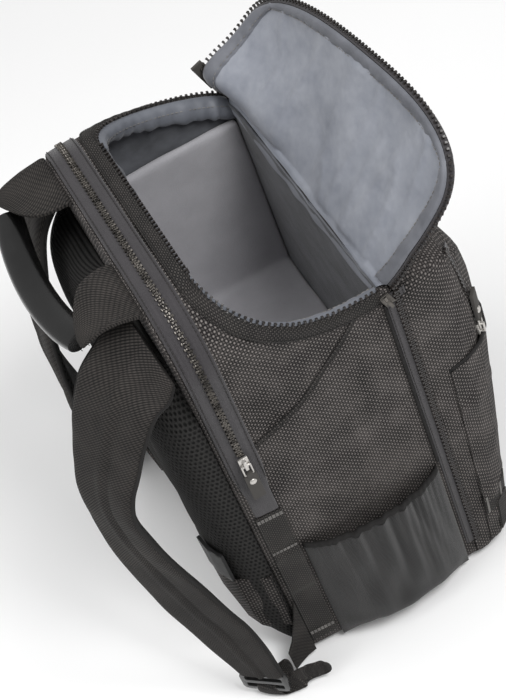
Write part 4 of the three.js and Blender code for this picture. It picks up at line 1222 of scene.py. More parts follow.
    def edge_trim(self) -> None:
        """Gathered border, zip tape and teeth round the free edge."""
        count = 420
        edge, inside = self.rim(0, count), self.rim(6.0, count)
        way = unit(edge - inside)
        along = tangents(edge)
        look = unit(np.cross(way, along))
        if look[count // 2, 1] < 0:
            look = -look
        run = np.linspace(0, line_length(edge), count)
        wave = np.sin(run / 2.3 + 2.4 * np.sin(run / 19)) + 0.9 * np.sin(run / 6.1 + 1.3)
        columns = []
        for inward, lift, share in ((0.0, 0.6, 0), (0.6, 2.4, 0), (3.0, 3.5, 0.1), (6.5, 3.9, 0.2),
                                    (10.0, 3.7, 0.5), (13.0, 3.0, 1), (self.border_wide, 1.2, 1.3)):
            pull = 0.5 * share * wave
            base = self.rim(inward, count) + look * lift
            columns.append(base + look * pull[:, None] + way * (0.7 * pull)[:, None])
        fitted(woven_grid("lid_border", np.stack(columns, axis=1), thick=0.9), Finish.BORDER)
        ring = []
        for angle in np.linspace(0, 2 * math.pi, 9)[:-1]:
            ring.append(edge + way * (0.9 + 1.3 * math.cos(angle)) + look * (-2.2 + 2.6 * math.sin(angle)))
        fitted(woven_grid("lid_zip_tape", np.stack(ring, axis=1), tube=True), Finish.TAPE)
        self.patterns.teeth("lid_teeth", edge + way * 1.5 - look * 2.0, way, look, nodes=["lid_chain"])
        seam = self.rim(12.2, count) + look * 3.9
        self.patterns.stitches("lid_border_stitches", [seam], [look], 4.4)


# Front compartment


@dataclass
class FrontCompartment:
    """Front compartment with its lower pocket, side zips and lash loops."""

    patterns: Patterns
    ply: float = 3.2
    depth: float = 79.0
    height: float = 377.0
    start: float = -78.35
    sections: tuple = ((0, 0), (0.28, 0.5), (0.52, 4), (0.72, 12), (0.87, 26), (0.96, 48), (1, 86))
    profile: tuple = ((0, 0.42), (0.06, 0.55), (0.16, 0.62), (0.3, 0.72), (0.45, 0.82), (0.6, 0.9),
                      (0.74, 1), (0.84, 0.98), (0.94, 0.9), (1, 0.84))
    near_edge: tuple = (0, 0.12, 0.3, 0.5, 0.9, 1.5, 2.3, 3.2, 4.2, 6, 8, 10, 12.5, 16, 20, 25, 31, 38, 47,
                        58, 72, 90, 110, 130)

    def deep(self, z: np.ndarray, deeper: float = 0.0) -> np.ndarray:
        """How deep the compartment is at a height."""
        rise, share = np.array(self.profile).T
        fine = np.linspace(0, 1, 41)
        soft = np.convolve(np.pad(np.interp(fine, rise, share), 2, "edge"), np.ones(5) / 5, "valid")
        return self.depth * np.interp(np.clip(z / self.height, 0, 1), fine, soft) + deeper

    def reach(self, inset: np.ndarray) -> np.ndarray:
        """Share of the depth at a distance from the outline."""
        reach, rows = np.array(self.sections).T
        return np.interp(inset, rows, reach)

    def skin(self, dx: np.ndarray, z: np.ndarray, grow: float = 0.0, deeper: float = 0.0) -> np.ndarray:
        """Grid of the outer face.

        Args:
            dx: distances from the near edge, one for each column.
            z: heights, one for each row.
            grow: how far it stands outside the compartment's own outline.
            deeper: how much deeper it is.

        Returns:
            Rows x columns x 3 points.
        """
        wide = 2 * (bag_half(-78) + grow)
        across, up = np.meshgrid(dx * wide / dx[-1], z)
        side = np.minimum(across, wide - across)
        sign = np.where(across < wide / 2, -1.0, 1.0)
        low, high = up + grow, self.height + grow - up
        upright = np.minimum(low, high)
        radius = np.where(low < high, 14.0, 16.0)
        inside = np.hypot(np.maximum(radius - side, 0), np.maximum(radius - upright, 0))
        inset = np.where((side < radius) & (upright < radius), radius - inside, np.minimum(side, upright))
        pull = np.where(inset < 0, radius / np.maximum(inside, 1e-6), 1.0)
        side = np.where(inset < 0, radius - (radius - side) * pull, side)
        upright = np.where(inset < 0, radius - (radius - upright) * pull, upright)
        height = np.where(low < high, upright - grow, self.height + grow - upright)
        y = self.start - self.reach(np.maximum(inset, 0)) * self.deep(height, deeper)
        return np.stack([sign * (wide / 2 - side), y, height], axis=2)

    def columns(self) -> np.ndarray:
        """Distances across the front, closer together near both edges."""
        half = np.array(self.near_edge)
        total = 2 * bag_half(-78)
        return np.concatenate([half, total - half[::-1]])

    def build(self) -> None:
        """Builds every piece."""
        half = np.array(self.near_edge)
        z = np.concatenate([half, np.linspace(140, 240, 6), self.height - half[::-1]])
        grid = self.skin(self.columns(), z)
        loose = np.clip((self.start - grid[..., 1]) / 40, 0, 1)
        grid[..., 1] += (0.8 * swirl(grid, 150.0, 31) + 1.6 * swirl(grid * [1, 1, 1.8], 90.0, 32)) * loose
        grid[..., 2] += self.ply * np.clip(1 - grid[..., 2] / 40, 0, 1)
        body = woven_grid("front_body", grid, thick=3.0, offset=1)
        box_map(body)
        fitted(body, Finish.WEAVE, ["front_compartment"])
        self.pocket()
        for side, sign in SIDES.items():
            self.side_zip(side, sign)
            self.lash(side, sign)
        self.pocket_zip()

    def pocket(self) -> None:
        """Patch pocket over the lower front, with its bound top edge."""
        columns = self.columns()
        keep = columns[(columns > 0.6) & (columns < columns[-1] - 0.6)]
        z = np.concatenate([np.linspace(16, 60, 16), np.linspace(66, 254, 34)])
        grid = self.skin(np.concatenate([[0], keep, [columns[-1]]]), z, 2.95, 7.6)[:, 1:-1]
        near_side = (np.exp(-((np.abs(grid[..., 0]) - 140) / 26) ** 2)
                     * np.clip((250 - grid[..., 2]) / 40, 0, 1))
        creases = 2.2 * np.maximum(swirl(grid * [0.5, 1.0, 2.4], 60.0, 33), 0) * near_side
        grid = grid + grid_normals(grid) * (creases * np.sign(-grid_normals(grid)[..., 1]))[..., None]
        patch = woven_grid("front_patch_pocket", grid, thick=2.0)
        box_map(patch)
        fitted(patch, Finish.WEAVE, ["front_pocket"])
        top = grid[-1]
        ring = [top + [0, 2.2 * math.cos(a), 1.0 + 3.2 * math.sin(a)]
                for a in np.linspace(0, 2 * math.pi, 11)[:-1]]
        fitted(woven_grid("pocket_top_binding", np.stack(ring, axis=1), tube=True), Finish.BINDING)

    def side_zip(self, side: str, sign: float) -> None:
        """Closed zip, its tape and piping down one side of the front."""
        z = np.linspace(374, 30, 90)
        rows = [[(sign * (front_half(y) + 0.4 + lift), y, h) for y, lift in
                 ((-89, 0.0), (-88.4, 0.9), (-84, 1.2), (-80, 1.3), (-76, 1.2), (-71.6, 0.9), (-71, 0.0))]
                for h in z]
        tape = woven_grid(f"front_zip_band_{side}", np.array(rows), thick=0.7)
        fitted(tape, Finish.TAPE, [f"front_zip_tape_{side}"])
        line = np.stack([np.full(90, sign * (front_half(-81) + 3.0)), np.full(90, -81.0), z], axis=1)
        ways, looks = np.tile([0.0, 1, 0], (90, 1)), np.tile([sign, 0.0, 0], (90, 1))
        self.patterns.teeth(f"front_teeth_{side}", line, ways, looks, closed=True, pitch=4.9, root=3.0,
                            finish=Finish.TEETH, nodes=[f"front_zip_chain_{side}"])
        seams = [np.stack([np.full(90, sign * (front_half(y) + 1.8)), np.full(90, y), z], axis=1)
                 for y in (-87.2, -72.8)]
        self.patterns.stitches(f"front_zip_stitches_{side}", seams, [looks, looks], 3.6, Finish.DARK_THREAD)
        run = np.linspace(365, 159, 60)
        ring = [np.stack([np.full(60, sign * (bag_half(-69.5) + 1.3 + 1.4 * math.cos(a))),
                          np.full(60, -69.5 + 1.4 * math.sin(a)), run], axis=1)
                for a in np.linspace(0, 2 * math.pi, 11)[:-1]]
        piping = woven_grid(f"front_cord_piping_{side}", np.stack(ring, axis=1), tube=True)
        fitted(piping, Finish.BINDING, [f"front_piping_{side}"])

    def edge_point(self, reach: float, z: float, grow: float, deeper: float) -> np.ndarray:
        """Point of the near outer face at a share of the depth and a height."""
        shares, rows = np.array(self.sections).T
        inset = np.interp(reach, shares, rows)
        out = reach * float(self.deep(np.array(z), deeper))
        return np.array([-bag_half(-78) + inset - grow, self.start - out, z])

    def lash(self, side: str, sign: float) -> None:
        """Lash strap with its hanging tab and bar tacks."""
        name = f"lash_loop_{side}"
        piece = frame_copy(f"lash_strap_{side}", name)
        gridded(piece, 5.0)
        box_map(piece)
        smooth(piece, 40.0)
        fitted(piece, Finish.WEBBING, [name])
        tacks, looks = [], []
        for reach in (0.36, 0.66):
            for k in (-1, 0, 1):
                low = self.edge_point(reach + 0.012 * k, 60.5, 7.0, 8.0)
                high = self.edge_point(reach + 0.012 * k, 79.5, 7.0, 8.0)
                line = np.linspace(low, high, 12)
                tacks.append(line if sign < 0 else mirrored(line))
                looks.append(np.tile([sign, -0.35, 0], (12, 1)))
        self.patterns.stitches(f"lash_tacks_{side}", tacks, looks, 2.6)

    def pocket_zip(self) -> None:
        """Closed zip of the upper front pocket on the near side."""
        z = np.linspace(366, 272, 40)
        line = np.array([self.edge_point(0.8, h, 2.2, 0.0) for h in z])
        ahead = np.array([self.edge_point(0.84, h, 2.2, 0.0) for h in z])
        ways = unit(ahead - line)
        looks = np.cross(tangents(line), ways)
        looks *= np.sign(-looks[:, :1])
        self.patterns.teeth("pocket_teeth", line + looks * 1.0, ways, looks, closed=True, root=3.0,
                            finish=Finish.TEETH, nodes=["front_pocket_chain"])
        strip = np.stack([line + ways * k - looks * (abs(k) * 0.05) for k in (-9, -5, 0, 5, 9)], axis=1)
        fitted(woven_grid("pocket_zip_tape", strip, thick=0.8), Finish.TAPE)


# Back: zip band, panel, pads, webbing


@dataclass
class BackZip:
    """Zip band over the top of the bag, from side to side."""

    patterns: Patterns
    y: float = 80.0
    wide: float = 27.0
    foot: float = 214.0
    chain_foot: float = 296.0

    def over(self, y: float, outset: float, foot: float, count: int = 320) -> np.ndarray:
        """Line up one side, over the top and down the other."""
        half, radius = bag_half(y), 60.0 + outset
        near = [(-half - outset, y, z) for z in np.linspace(foot, 385, 20)]
        near += [(-(half - 60) - radius * math.cos(a), y, 385 + radius * math.sin(a))
                 for a in np.linspace(0, math.pi / 2, 26)[1:]]
        far = [(-x, y_, z) for x, y_, z in reversed(near)]
        return resampled(np.array(near + far), count)

    def build(self) -> None:
        """Builds the band, its teeth and its seams."""
        low = -self.wide / 2
        rows = [(low, 0.4), (low + 0.7, 1.7), (low + 5, 2.1), (-4.2, 2.1), (0, 1.9), (4.2, 2.1),
                (-low - 5, 2.1), (-low - 0.7, 1.7), (-low, 0.4)]
        lines = []
        for dy, lift in rows:
            taper = self.over(self.y + dy, lift, self.foot)
            pinch = np.clip((taper[:, 2] - self.foot) / 60, 0.45, 1)
            taper[:, 1] = self.y + (taper[:, 1] - self.y) * (0.55 + 0.45 * pinch)
            lines.append(taper)
        band = woven_grid("back_zip_band", np.stack(lines, axis=1), thick=0.7)
        fitted(band, Finish.TAPE, ["back_zip_tape"])
        line = self.over(self.y, 3.0, self.chain_foot)
        inner = self.over(self.y, 1.0, self.chain_foot)
        ways = np.tile([0.0, 1, 0], (len(line), 1))
        self.patterns.teeth("back_teeth", line, ways, line - inner, closed=True, root=3.0,
                            finish=Finish.GUNMETAL, nodes=["back_zip_chain"])
        seams = [self.over(self.y + dy, 2.7, self.foot + 46) for dy in (-11.4, 11.4)]
        looks = [seam - self.over(self.y, 0.0, self.foot + 46) * [1, 0, 1] - seam * [0, 1, 0]
                 for seam in seams]
        self.patterns.stitches("back_zip_stitches", seams, looks, 3.6, Finish.DARK_THREAD)


@dataclass
class BackPanel:
    """Back panel with its mesh pads, slot pockets and side webbings."""

    patterns: Patterns
    y: float = 97.35
    inner: float = 14.0
    outer: float = 138.0
    foot: float = 10.0
    top: float = 392.0
    depth: float = 36.0

    def build(self) -> None:
        """Builds every piece."""
        panel = frame_copy("back_cloth", "back_panel")
        gridded(panel, 9.0)
        moved(panel, lambda at, normal: true_corners(at, (0.0, 2.0, 8.0)))
        box_map(panel)
        smooth(panel, 38.0)
        fitted(panel, Finish.WEAVE, ["back_panel"])
        for side, sign in SIDES.items():
            self.pad(side, sign)
            for name, finish in ((f"slot_pocket_{side}", Finish.WEAVE), (f"belt_tip_{side}", Finish.TIP),
                                 (f"side_webbing_{side}", Finish.WEBBING)):
                self.strip(name, finish)
            self.tacks(side, sign)

    def pad(self, side: str, sign: float) -> None:
        """Domed pad under spacer mesh."""
        v = np.concatenate([[0, 0.004], np.linspace(0.012, 0.988, 130), [0.996, 1]])[:, None]
        u = np.concatenate([[0, 0.006], np.linspace(0.02, 0.98, 62), [0.994, 1]])[None, :]
        ends = (1 - np.abs(2 * v - 1) ** 7) ** 0.6
        dome = (1 - np.abs(2 * u - 1) ** 3.2) ** 0.55
        shoulder = 26 * np.maximum(0, v - 0.86) / 0.14
        z = self.foot + (self.top - self.foot) * v + 0 * u
        x = self.inner + (self.outer - shoulder - self.inner) * u
        slack = 1 + 0.035 * swirl(np.stack([x, 0 * z, z], axis=2), 80.0, 41)
        y = self.y + 2 + self.depth * dome * ends * slack - 1.0
        edge = (u * (1 - u) * v * (1 - v)) == 0
        y = np.where(edge, self.y + 0.1, y)
        grid = np.stack([sign * x, y, z], axis=2)
        piece = woven_grid(f"back_mesh_pad_{side}", grid[:, ::-1])
        shape = bmesh.new()
        shape.from_mesh(piece.data)
        rim = [e for e in shape.edges if e.is_boundary]
        bmesh.ops.contextual_create(shape, geom=rim)
        bmesh.ops.recalc_face_normals(shape, faces=shape.faces)
        shape.to_mesh(piece.data)
        shape.free()
        smooth(piece, 60.0)
        fitted(piece, Finish.PAD, [f"back_pad_{side}"])

    def strip(self, node: str, finish: Finish) -> None:
        """Small cloth strip that keeps the frame's own shape."""
        piece = frame_copy(f"{node}_cloth", node)
        gridded(piece, 4.0)
        box_map(piece)
        smooth(piece, 40.0)
        fitted(piece, finish, [node])

    def tacks(self, side: str, sign: float) -> None:
        """Bar tacks at the ends of the side webbing's loop."""
        lines, looks = [], []
        for z, lift in ((206, 3.2), (158, 3.2), (99, 3.2), (30, 3.2)):
            for k in range(3):
                at = z + 1.5 * k
                lines.append(np.linspace((sign * (bag_half(70) + lift), 70, at),
                                         (sign * (bag_half(90) + lift), 90, at), 9))
                looks.append(np.tile([sign, 0.0, 0], (9, 1)))
        self.patterns.stitches(f"webbing_tacks_{side}", lines, looks, 2.6, Finish.THREAD)


# Handle and straps


@dataclass
class CarryHandle:
    """Leather grip between two woven anchor patches."""

    patterns: Patterns
    half: float = 82.0
    height: float = 427.0
    back: float = 145.0
    reach: float = 11.0
    droop: float = 8.0
    wide: float = 27.0
    thick: float = 17.0

    def build(self) -> None:
        """Builds every piece."""
        share = np.linspace(-1, 1, 90)
        bow = 1 - share ** 2
        path = np.stack([self.half * share, self.back + self.reach * bow,
                         self.height - self.droop * bow], axis=1)
        along = tangents(path)
        out = unit(np.cross([0, 0, 1.0], along))
        rise = np.cross(along, out)
        swell = 1 - 0.12 * np.abs(share) ** 6
        ring = []
        for angle in np.linspace(0, 2 * math.pi, 29)[:-1]:
            c, s = math.cos(angle), math.sin(angle)
            pinch = 1 - 0.28 * math.exp(-((angle - 1.5 * math.pi) / 0.16) ** 2)
            ring.append(path + out * (self.wide / 2 * c * swell)[:, None]
                        + rise * (self.thick / 2 * s * pinch * swell)[:, None])
        grip = woven_grid("leather_grip", np.stack(ring, axis=1), tube=True)
        fitted(grip, Finish.LEATHER, ["handle_grip"])
        seams = [path + out * (k * 3.4) - rise * (self.thick / 2 * 0.93) for k in (-1, 1)]
        self.patterns.stitches("grip_stitches", seams, [-rise, -rise], 4.0)
        for side, sign in SIDES.items():
            self.anchor(side, sign)

    def anchor(self, side: str, sign: float) -> None:
        """Woven patch from the bag's top edge to the end of the grip."""
        rows = [(97.4, 439.4, 42, 108), (100, 441.5, 42, 107.5), (109.8, 442.4, 42, 105),
                (126.8, 441.4, 48, 102), (140, 438.5, 68, 101), (147, 433.4, 89, 98)]
        low = smooth_line([(a, y, z) for y, z, a, b in rows], 40)
        high = smooth_line([(b, y, z) for y, z, a, b in rows], 40)
        grid = np.stack([low + (high - low) * k for k in np.linspace(0, 1, 15)], axis=1)
        grid[..., 2] += 1.6 + 0.5 * swirl(grid, 40.0, 51)
        piece = woven_grid(f"anchor_patch_{side}", grid * [sign, 1, 1], thick=3.0)
        fitted(piece, Finish.TWILL, [f"handle_anchor_{side}"])
        top = grid + [0, 0, 1.7]
        lines = [top[:, 1], top[:, -2], top[2, 1:-1]]
        lines = [resampled(line, 40) * [sign, 1, 1] for line in lines]
        looks = [np.tile([0.0, 0, 1], (40, 1))] * 3
        self.patterns.stitches(f"anchor_stitches_{side}", lines, looks, 3.8, Finish.DARK_THREAD)


@dataclass
class ShoulderStraps:
    """Padded straps with twill outside, mesh inside and bound edges."""

    change: float = 0.56
    thick: float = 11.0
    edge: float = 2.2
    near: tuple = (
        (0.73, 0.045, 0.93, 0, 22, 1), (0.79, 0.25, 0.91, 22, 14, 1), (0.82, 0.43, 0.89, 24, 4, 1),
        (0.83, 0.6, 0.834, 22, 0, 1), (0.835, 0.72, 0.779, 19, 0, 0.98), (0.84, 0.82, 0.732, 16, 0, 0.94),
        (0.85, 0.89, 0.672, 19, 0, 0.88), (0.87, 0.89, 0.591, 28, 0, 0.84), (0.89, 0.85, 0.496, 36, 0, 0.82),
        (0.915, 0.78, 0.41, 42, 0, 0.8), (0.95, 0.7, 0.319, 47, 0, 0.78), (0.99, 0.62, 0.25, 50, 0, 0.76),
        (1.04, 0.55, 0.175, 50, 0, 0.68), (1.08, 0.48, 0.083, 50, 0, 0.5))
    far: tuple = (
        (0.73, 0.045, 0.93, 0, 22, 1), (0.7, 0.25, 0.89, 8, 14, 1), (0.62, 0.43, 0.825, 6, 4, 1),
        (0.575, 0.58, 0.75, 4, 0, 0.96), (0.55, 0.67, 0.655, 2, 0, 0.92), (0.53, 0.7, 0.57, 4, 0, 0.88),
        (0.54, 0.7, 0.49, 10, 0, 0.84), (0.62, 0.68, 0.39, 20, 0, 0.8), (0.77, 0.63, 0.29, 32, 0, 0.78),
        (0.95, 0.56, 0.18, 44, 0, 0.7), (1.08, 0.48, 0.083, 50, 0, 0.5))

    def build(self) -> None:
        """Builds both straps."""
        for side, sign in SIDES.items():
            self.strap(side, sign, self.near if side == "near" else self.far)

    def strap(self, side: str, sign: float, table: tuple) -> None:
        """One strap from its stations: across, reach, rise, turn, dip, width."""
        middle, edges = [], []
        for across, reach, rise, turn, dip, wide in table:
            centre = np.array([-across * 148, 99 + reach * 100, rise * 445])
            a, b = math.radians(turn), math.radians(dip)
            way = np.array([-math.cos(a) * math.cos(b), -math.sin(a) * math.cos(b), -math.sin(b)])
            middle.append(centre)
            edges.append(way * wide * 40)
        count = 150
        line = smooth_line(middle, count)
        steps = np.linalg.norm(np.diff(middle, axis=0), axis=1)
        at = np.concatenate([[0], np.cumsum(steps)]) / steps.sum()
        spread = np.array(edges)
        reach = np.stack([np.interp(np.linspace(0, 1, count), at, spread[:, k]) for k in range(3)], axis=1)
        kernel = np.ones(9) / 9
        reach = np.stack([np.convolve(np.pad(reach[:, k], 4, "edge"), kernel, "valid")
                          for k in range(3)], axis=1)
        normal = unit(np.cross(tangents(line), reach))
        flip = np.array([-1.0 if sign > 0 else 1.0, 1, 1])
        top, low = [], []
        shares = np.sin(np.linspace(-math.pi / 2, math.pi / 2, 23)) * 0.5 + np.linspace(-1, 1, 23) * 0.5
        for k in shares:
            flat = (1 - np.abs(k) ** 9) ** 0.7
            half = self.edge / 2 + (self.thick - self.edge) / 2 * flat
            ridge = 2.4 * math.exp(-((k - 0.06) / 0.09) ** 2) - 1.6 * math.exp(-((k - 0.24) / 0.12) ** 2)
            slack = 0.5 * swirl(line + reach * k, 70.0, 61)
            top.append(line + reach * k + normal * (half + ridge + slack)[:, None])
            low.append(line + reach * k - normal * (half - 0.4 * slack)[:, None])
        ring = top + low[::-1]
        grid = np.stack(ring, axis=1) * flip
        outer_first = self._outer_is_top(line, normal)

        def kind(row: int, column: int) -> int:
            """Twill outside, herringbone lower down, and mesh inside."""
            outside = (column < len(shares)) == outer_first
            return (2 if row > self.change * count else 0) if outside else 1

        piece = woven_grid(f"padded_strap_{side}", grid, tube=True, side_index=kind)
        Finish.TWILL.on(piece)
        Finish.STRAP_MESH.on(piece)
        fitted(piece, Finish.LOOP, [f"shoulder_strap_{side}"])
        for label, k in (("outer", 1.0), ("inner", -1.0)):
            cord = [(line + reach * (k * 1.0) + unit(reach) * (k * 1.2 * math.cos(a))
                     + normal * (2.0 * math.sin(a))) * flip for a in np.linspace(0, 2 * math.pi, 9)[:-1]]
            bound = woven_grid(f"strap_binding_{label}_{side}", np.stack(cord, axis=1), tube=True)
            fitted(bound, Finish.BINDING)

    def _outer_is_top(self, line: np.ndarray, normal: np.ndarray) -> bool:
        """Whether the first face of the strap looks away from the bag."""
        return bool(normal[len(line) // 2, 1] > 0)


# Side pockets and strap anchors


@dataclass
class SidePockets:
    """Stretch mesh pockets with gathered tops and bound mouths."""

    front: float = -67.0
    back: float = 64.0
    foot: float = 7.0
    top: float = 145.0
    mouth: float = 13.0
    belly: float = 20.0
    belly_at: float = 0.16
    gathers: int = 6

    def bulge(self, u: np.ndarray, v: np.ndarray) -> np.ndarray:
        """How far the mesh stands off the side."""
        across = np.sin(math.pi * u) ** 0.6
        low = self.belly * np.sin(math.pi / 2 * np.minimum(v / self.belly_at, 1))
        high = self.belly + (self.mouth - self.belly) * (v - self.belly_at) / (1 - self.belly_at)
        rise = np.where(v < self.belly_at, low, high)
        ripple = 2.2 * np.cos(2 * math.pi * self.gathers * u) * v ** 1.5
        lean = u + 0.16 * (1 - v) * (u - 0.5)
        tight = 0.45 + 0.55 * np.cos(math.pi * (u - 0.3)) ** 2 * (0.6 + 0.4 * np.sin(17 * u + 1.1))
        fine = 1.5 * tight * np.sin(2 * math.pi * (17 * lean + 1.1 * np.sin(7 * u))) * v ** 2
        loose = 2.4 * np.sin(2 * math.pi * (6 * lean + 0.6 * np.sin(3 * v + 5 * u))) * v * (1.1 - v) * 1.5
        sag = 1.8 * np.sin(2 * math.pi * (2.2 * u + 1.6 * v + 0.2)) * (1 - v) * np.minimum(4 * v, 1)
        return across * (rise + ripple + fine + loose + sag)

    def point(self, u: np.ndarray, v: np.ndarray, out: float) -> np.ndarray:
        """Points of the near pocket."""
        y = self.back + (self.front - self.back) * u
        top = self.top + 5 * np.abs(2 * u - 1) ** 5
        z = self.foot + (top - self.foot) * v
        x = -(148 - 3 * (y / 80) ** 2) - 0.65 - self.bulge(u, v) - out
        return np.stack([x, y, z], axis=-1)

    def build(self) -> None:
        """Builds both pockets."""
        u, v = np.meshgrid(np.linspace(0, 1, 190), np.linspace(0, 1, 48))
        grid = self.point(u, v, 0.8)
        edge = np.linspace(0, 1, 190)
        line = self.point(edge, np.ones(190), 0.8)
        line[:, 0] += 0.6 * np.sin(math.pi * edge) ** 0.6 * 2.2 * np.cos(2 * math.pi * self.gathers * edge)
        ring = [line + [1.7 * math.copysign(abs(math.cos(a)) ** 0.6, math.cos(a)), 0,
                        3.6 + 3.6 * math.copysign(abs(math.sin(a)) ** 0.6, math.sin(a))]
                for a in np.linspace(0, 2 * math.pi, 17)[:-1]]
        rim = np.stack(ring, axis=1)
        for side, sign in SIDES.items():
            turn = np.array([-sign, 1.0, 1.0])
            net = woven_grid(f"net_pocket_{side}", grid * turn, thick=1.2)
            fitted(net, Finish.NET, [f"mesh_pocket_{side}"])
            bound = woven_grid(f"pocket_mouth_binding_{side}", rim * turn, tube=True)
            fitted(bound, Finish.BINDING, [f"pocket_binding_{side}"])


@dataclass
class StrapAnchors:
    """Ladder locks, their gussets and the webbings through them."""


    def build(self) -> None:
        """Builds both sides."""
        for side in SIDES:
            lock = frame_copy(f"strap_lock_{side}", f"ladder_lock_{side}")
            apply(lock, "BEVEL", width=0.9 * MM, segments=3, limit_method="ANGLE", angle_limit=0.6)
            smooth(lock, 40.0)
            fitted(lock, Finish.PLASTIC, [f"ladder_lock_{side}"])
            gusset = frame_copy(f"gusset_cloth_{side}", f"anchor_gusset_{side}")
            gridded(gusset, 5.0)
            box_map(gusset)
            smooth(gusset, 40.0)
            fitted(gusset, Finish.TWILL, [f"anchor_gusset_{side}"])
            webbing = frame_copy(f"folded_webbing_{side}", f"lower_webbing_{side}")
            box_map(webbing)
            apply(webbing, "SUBSURF", levels=2, render_levels=2)
            smooth(webbing)
            fitted(webbing, Finish.WEBBING, [f"lower_webbing_{side}"])


@dataclass
class ZipPulls:
    """Sliders, wire links and woven tabs with their rivets."""

    sets: tuple = (("back_near", "pull_back_near"), ("back_far", "pull_back_far"),
                   ("lid_far", "pull_lid_far"), ("pocket_near", "pull_pocket_near"))

    def hard(self, node: str, finish: Finish, width: float, body: str) -> bpy.types.Object:
        """Hard piece with the frame's shape and softened edges."""
        piece = frame_copy(f"{node}_metal", node)
        apply(piece, "BEVEL", width=width * MM, segments=2, limit_method="ANGLE", angle_limit=0.6)
        smooth(piece, 40.0)
        return fitted(piece, finish, [node], body)

    def build(self) -> None:
        """Builds every set, and the slider whose pull is out of sight."""
        self.hard("slider_lid_near", Finish.GUNMETAL, 0.4, BODY)
        for name, body in self.sets:
            self.hard(f"slider_{name}", Finish.NICKEL, 0.4, BODY)
            self.hard(f"pull_link_{name}", Finish.NICKEL, 0.45, body)
            tab = frame_copy(f"woven_tab_{name}", f"pull_tab_{name}")
            apply(tab, "BEVEL", width=0.7 * MM, segments=2, limit_method="ANGLE", angle_limit=0.6)
            box_map(tab)
            smooth(tab, 40.0)
            fitted(tab, Finish.PULL, [f"pull_tab_{name}"], body)
            self.rivet(name, body)

    def rivet(self, name: str, body: str) -> None:
        """Domed rivet near the tab's upper end."""
        link_box, tab_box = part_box(f"pull_link_{name}"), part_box(f"pull_tab_{name}")
        link_mid = (link_box[0] + link_box[1]) / (2 * MM)
        tab_mid = (tab_box[0] + tab_box[1]) / (2 * MM)
        along = np.array(tab_mid - link_mid)
        along /= np.linalg.norm(along)
        out = {"back_near": (-1, 0, 0), "back_far": (1, 0, 0), "lid_far": (1, 0, 0),
               "pocket_near": (-0.62, -0.78, 0)}[name]
        out = unit(np.array(out, float))
        at = np.array(tab_mid) - along * 5.5 + out * 1.3
        bpy.ops.object.select_all(action="DESELECT")
        bpy.ops.mesh.primitive_uv_sphere_add(segments=20, ring_count=12, radius=3.2)
        dome = bpy.context.object
        dome.name = f"rivet_{name}"
        bpy.ops.object.mode_set(mode="EDIT")
        bpy.ops.mesh.select_all(action="SELECT")
        bpy.ops.transform.resize(value=(1, 1, 0.5))
        bpy.ops.object.mode_set(mode="OBJECT")
        place = stood(np.array([at]), np.array([along]), np.array([out]))[0]
        dome.data.transform(Matrix.Scale(MM, 4) @ place)
        smooth(dome)
        fitted(dome, Finish.NICKEL, (), body)


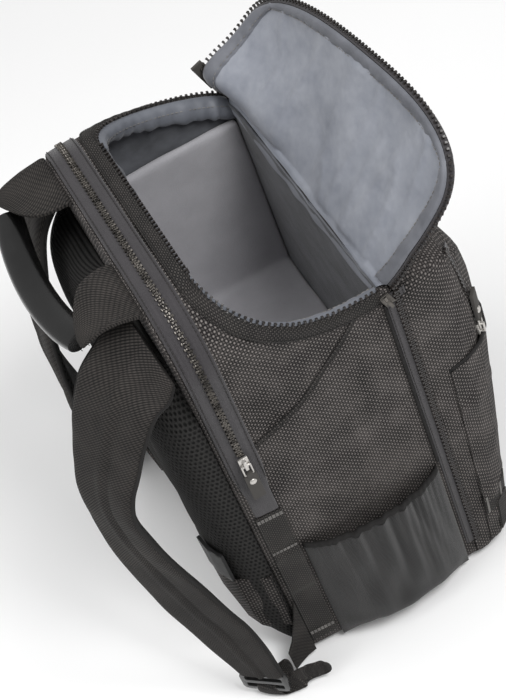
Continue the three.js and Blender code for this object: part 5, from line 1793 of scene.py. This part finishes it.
@dataclass
class Studio:
    """Floor, soft lights and the camera."""

    eye: tuple = (-1.0658, 0.1647, 1.3995)
    right: tuple = (-0.4175, -0.8672, -0.2715)
    down: tuple = (-0.6120, 0.4892, -0.6215)
    forward: tuple = (0.6717, -0.0933, -0.7349)
    lens: float = 94.2
    width: int = 506
    height: int = 700

    def build(self) -> None:
        """Builds the floor, lights and camera."""
        bpy.ops.object.select_all(action="DESELECT")
        bpy.ops.mesh.primitive_plane_add(size=12, location=(0, 0, -0.0006))
        floor = bpy.context.object
        floor.name = "floor"
        loom = Loom("pale_floor")
        grain = loom.noise(3.0, 2.0)
        colour = loom.tint(grain, (0.93, 0.93, 0.93, 1), (0.96, 0.96, 0.96, 1))
        floor.data.materials.append(loom.done(colour, 0.9))
        world = bpy.context.scene.world or bpy.data.worlds.new("room")
        bpy.context.scene.world = world
        world.use_nodes = True
        back = next(n for n in world.node_tree.nodes if n.type == "BACKGROUND")
        back.inputs[0].default_value = (1, 1, 1, 1)
        back.inputs[1].default_value = 0.42
        self.lamp("key_light", (-1.2, -0.7, 2.2), 0.9, 40)
        self.lamp("top_light", (0.2, 0.9, 2.6), 1.6, 22)
        self.lamp("back_light", (-0.6, 1.9, 1.3), 1.2, 10)
        bpy.context.scene.view_settings.view_transform = "Standard"
        self.view()

    def lamp(self, name: str, at: tuple, size: float, watts: float) -> None:
        """Soft square light that looks at the bag."""
        data = bpy.data.lights.new(name, "AREA")
        data.energy, data.size = watts, size
        lamp = bpy.data.objects.new(name, data)
        bpy.context.scene.collection.objects.link(lamp)
        lamp.location = at
        lamp.rotation_euler = (Vector((0, 0, 0.25)) - Vector(at)).to_track_quat("-Z", "Y").to_euler()

    def view(self) -> None:
        """Camera at the photograph's place."""
        data = bpy.data.cameras.new("photo_camera")
        data.sensor_fit = "AUTO"
        data.sensor_width = 36.0
        data.lens = self.lens
        camera = bpy.data.objects.new("photo_camera", data)
        bpy.context.scene.collection.objects.link(camera)
        turn = Matrix((self.right, tuple(-d for d in self.down),
                       tuple(-f for f in self.forward))).transposed()
        camera.matrix_world = Matrix.Translation(self.eye) @ turn.to_4x4()
        bpy.context.scene.camera = camera


@dataclass(frozen=True)
class Cut:
    """A sheet of cloth at the size it was cut to, in millimetres."""

    piece: str
    wide: float
    long: float
    held: str
    rests_on: str
    area: float | None = None
    trims: tuple[str, ...] = ()

    def declare(self) -> None:
        """Does nothing; the sheet is not declared to the frame."""


CUTS = (
    Cut("net_pocket_near", 140, 150, "gathered", "main_shell", trims=("pocket_mouth_binding_near",)),
    Cut("net_pocket_far", 140, 150, "gathered", "main_shell", trims=("pocket_mouth_binding_far",)),
    Cut("folded_webbing_near", 25, 108, "folded", "ladder_lock_near"),
    Cut("folded_webbing_far", 25, 108, "folded", "ladder_lock_far"),
    Cut("gusset_cloth_near", 27, 82, "stretched", "back_panel", 1460),
    Cut("gusset_cloth_far", 27, 82, "stretched", "back_panel", 1460),
    Cut("lid_satin_lining", 320, 150, "stretched", "lid_panel", 45000),
    Cut("lid_border", 15, 535, "gathered", "lid_panel"),
    Cut("mouth_border_band", 26, 540, "stretched", "main_shell"),
    Cut("inner_lining", 840, 500, "hung", "main_shell", 375800),
)


def main() -> None:
    """Builds the backpack piece by piece."""
    logging.basicConfig(level=logging.INFO, format="%(message)s")
    bpy.ops.object.select_all(action="DESELECT")
    Studio().build()
    patterns = Patterns()
    for part in (MainCompartment(patterns), Mouth(patterns), Lid(patterns), FrontCompartment(patterns),
                 BackZip(patterns), BackPanel(patterns), CarryHandle(patterns), ShoulderStraps(),
                 SidePockets(), StrapAnchors(), ZipPulls()):
        LOG.info("building %s", type(part).__name__)
        part.build()
    for cut in CUTS:
        cut.declare()
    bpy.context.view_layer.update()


if __name__ == "__main__":
    main()
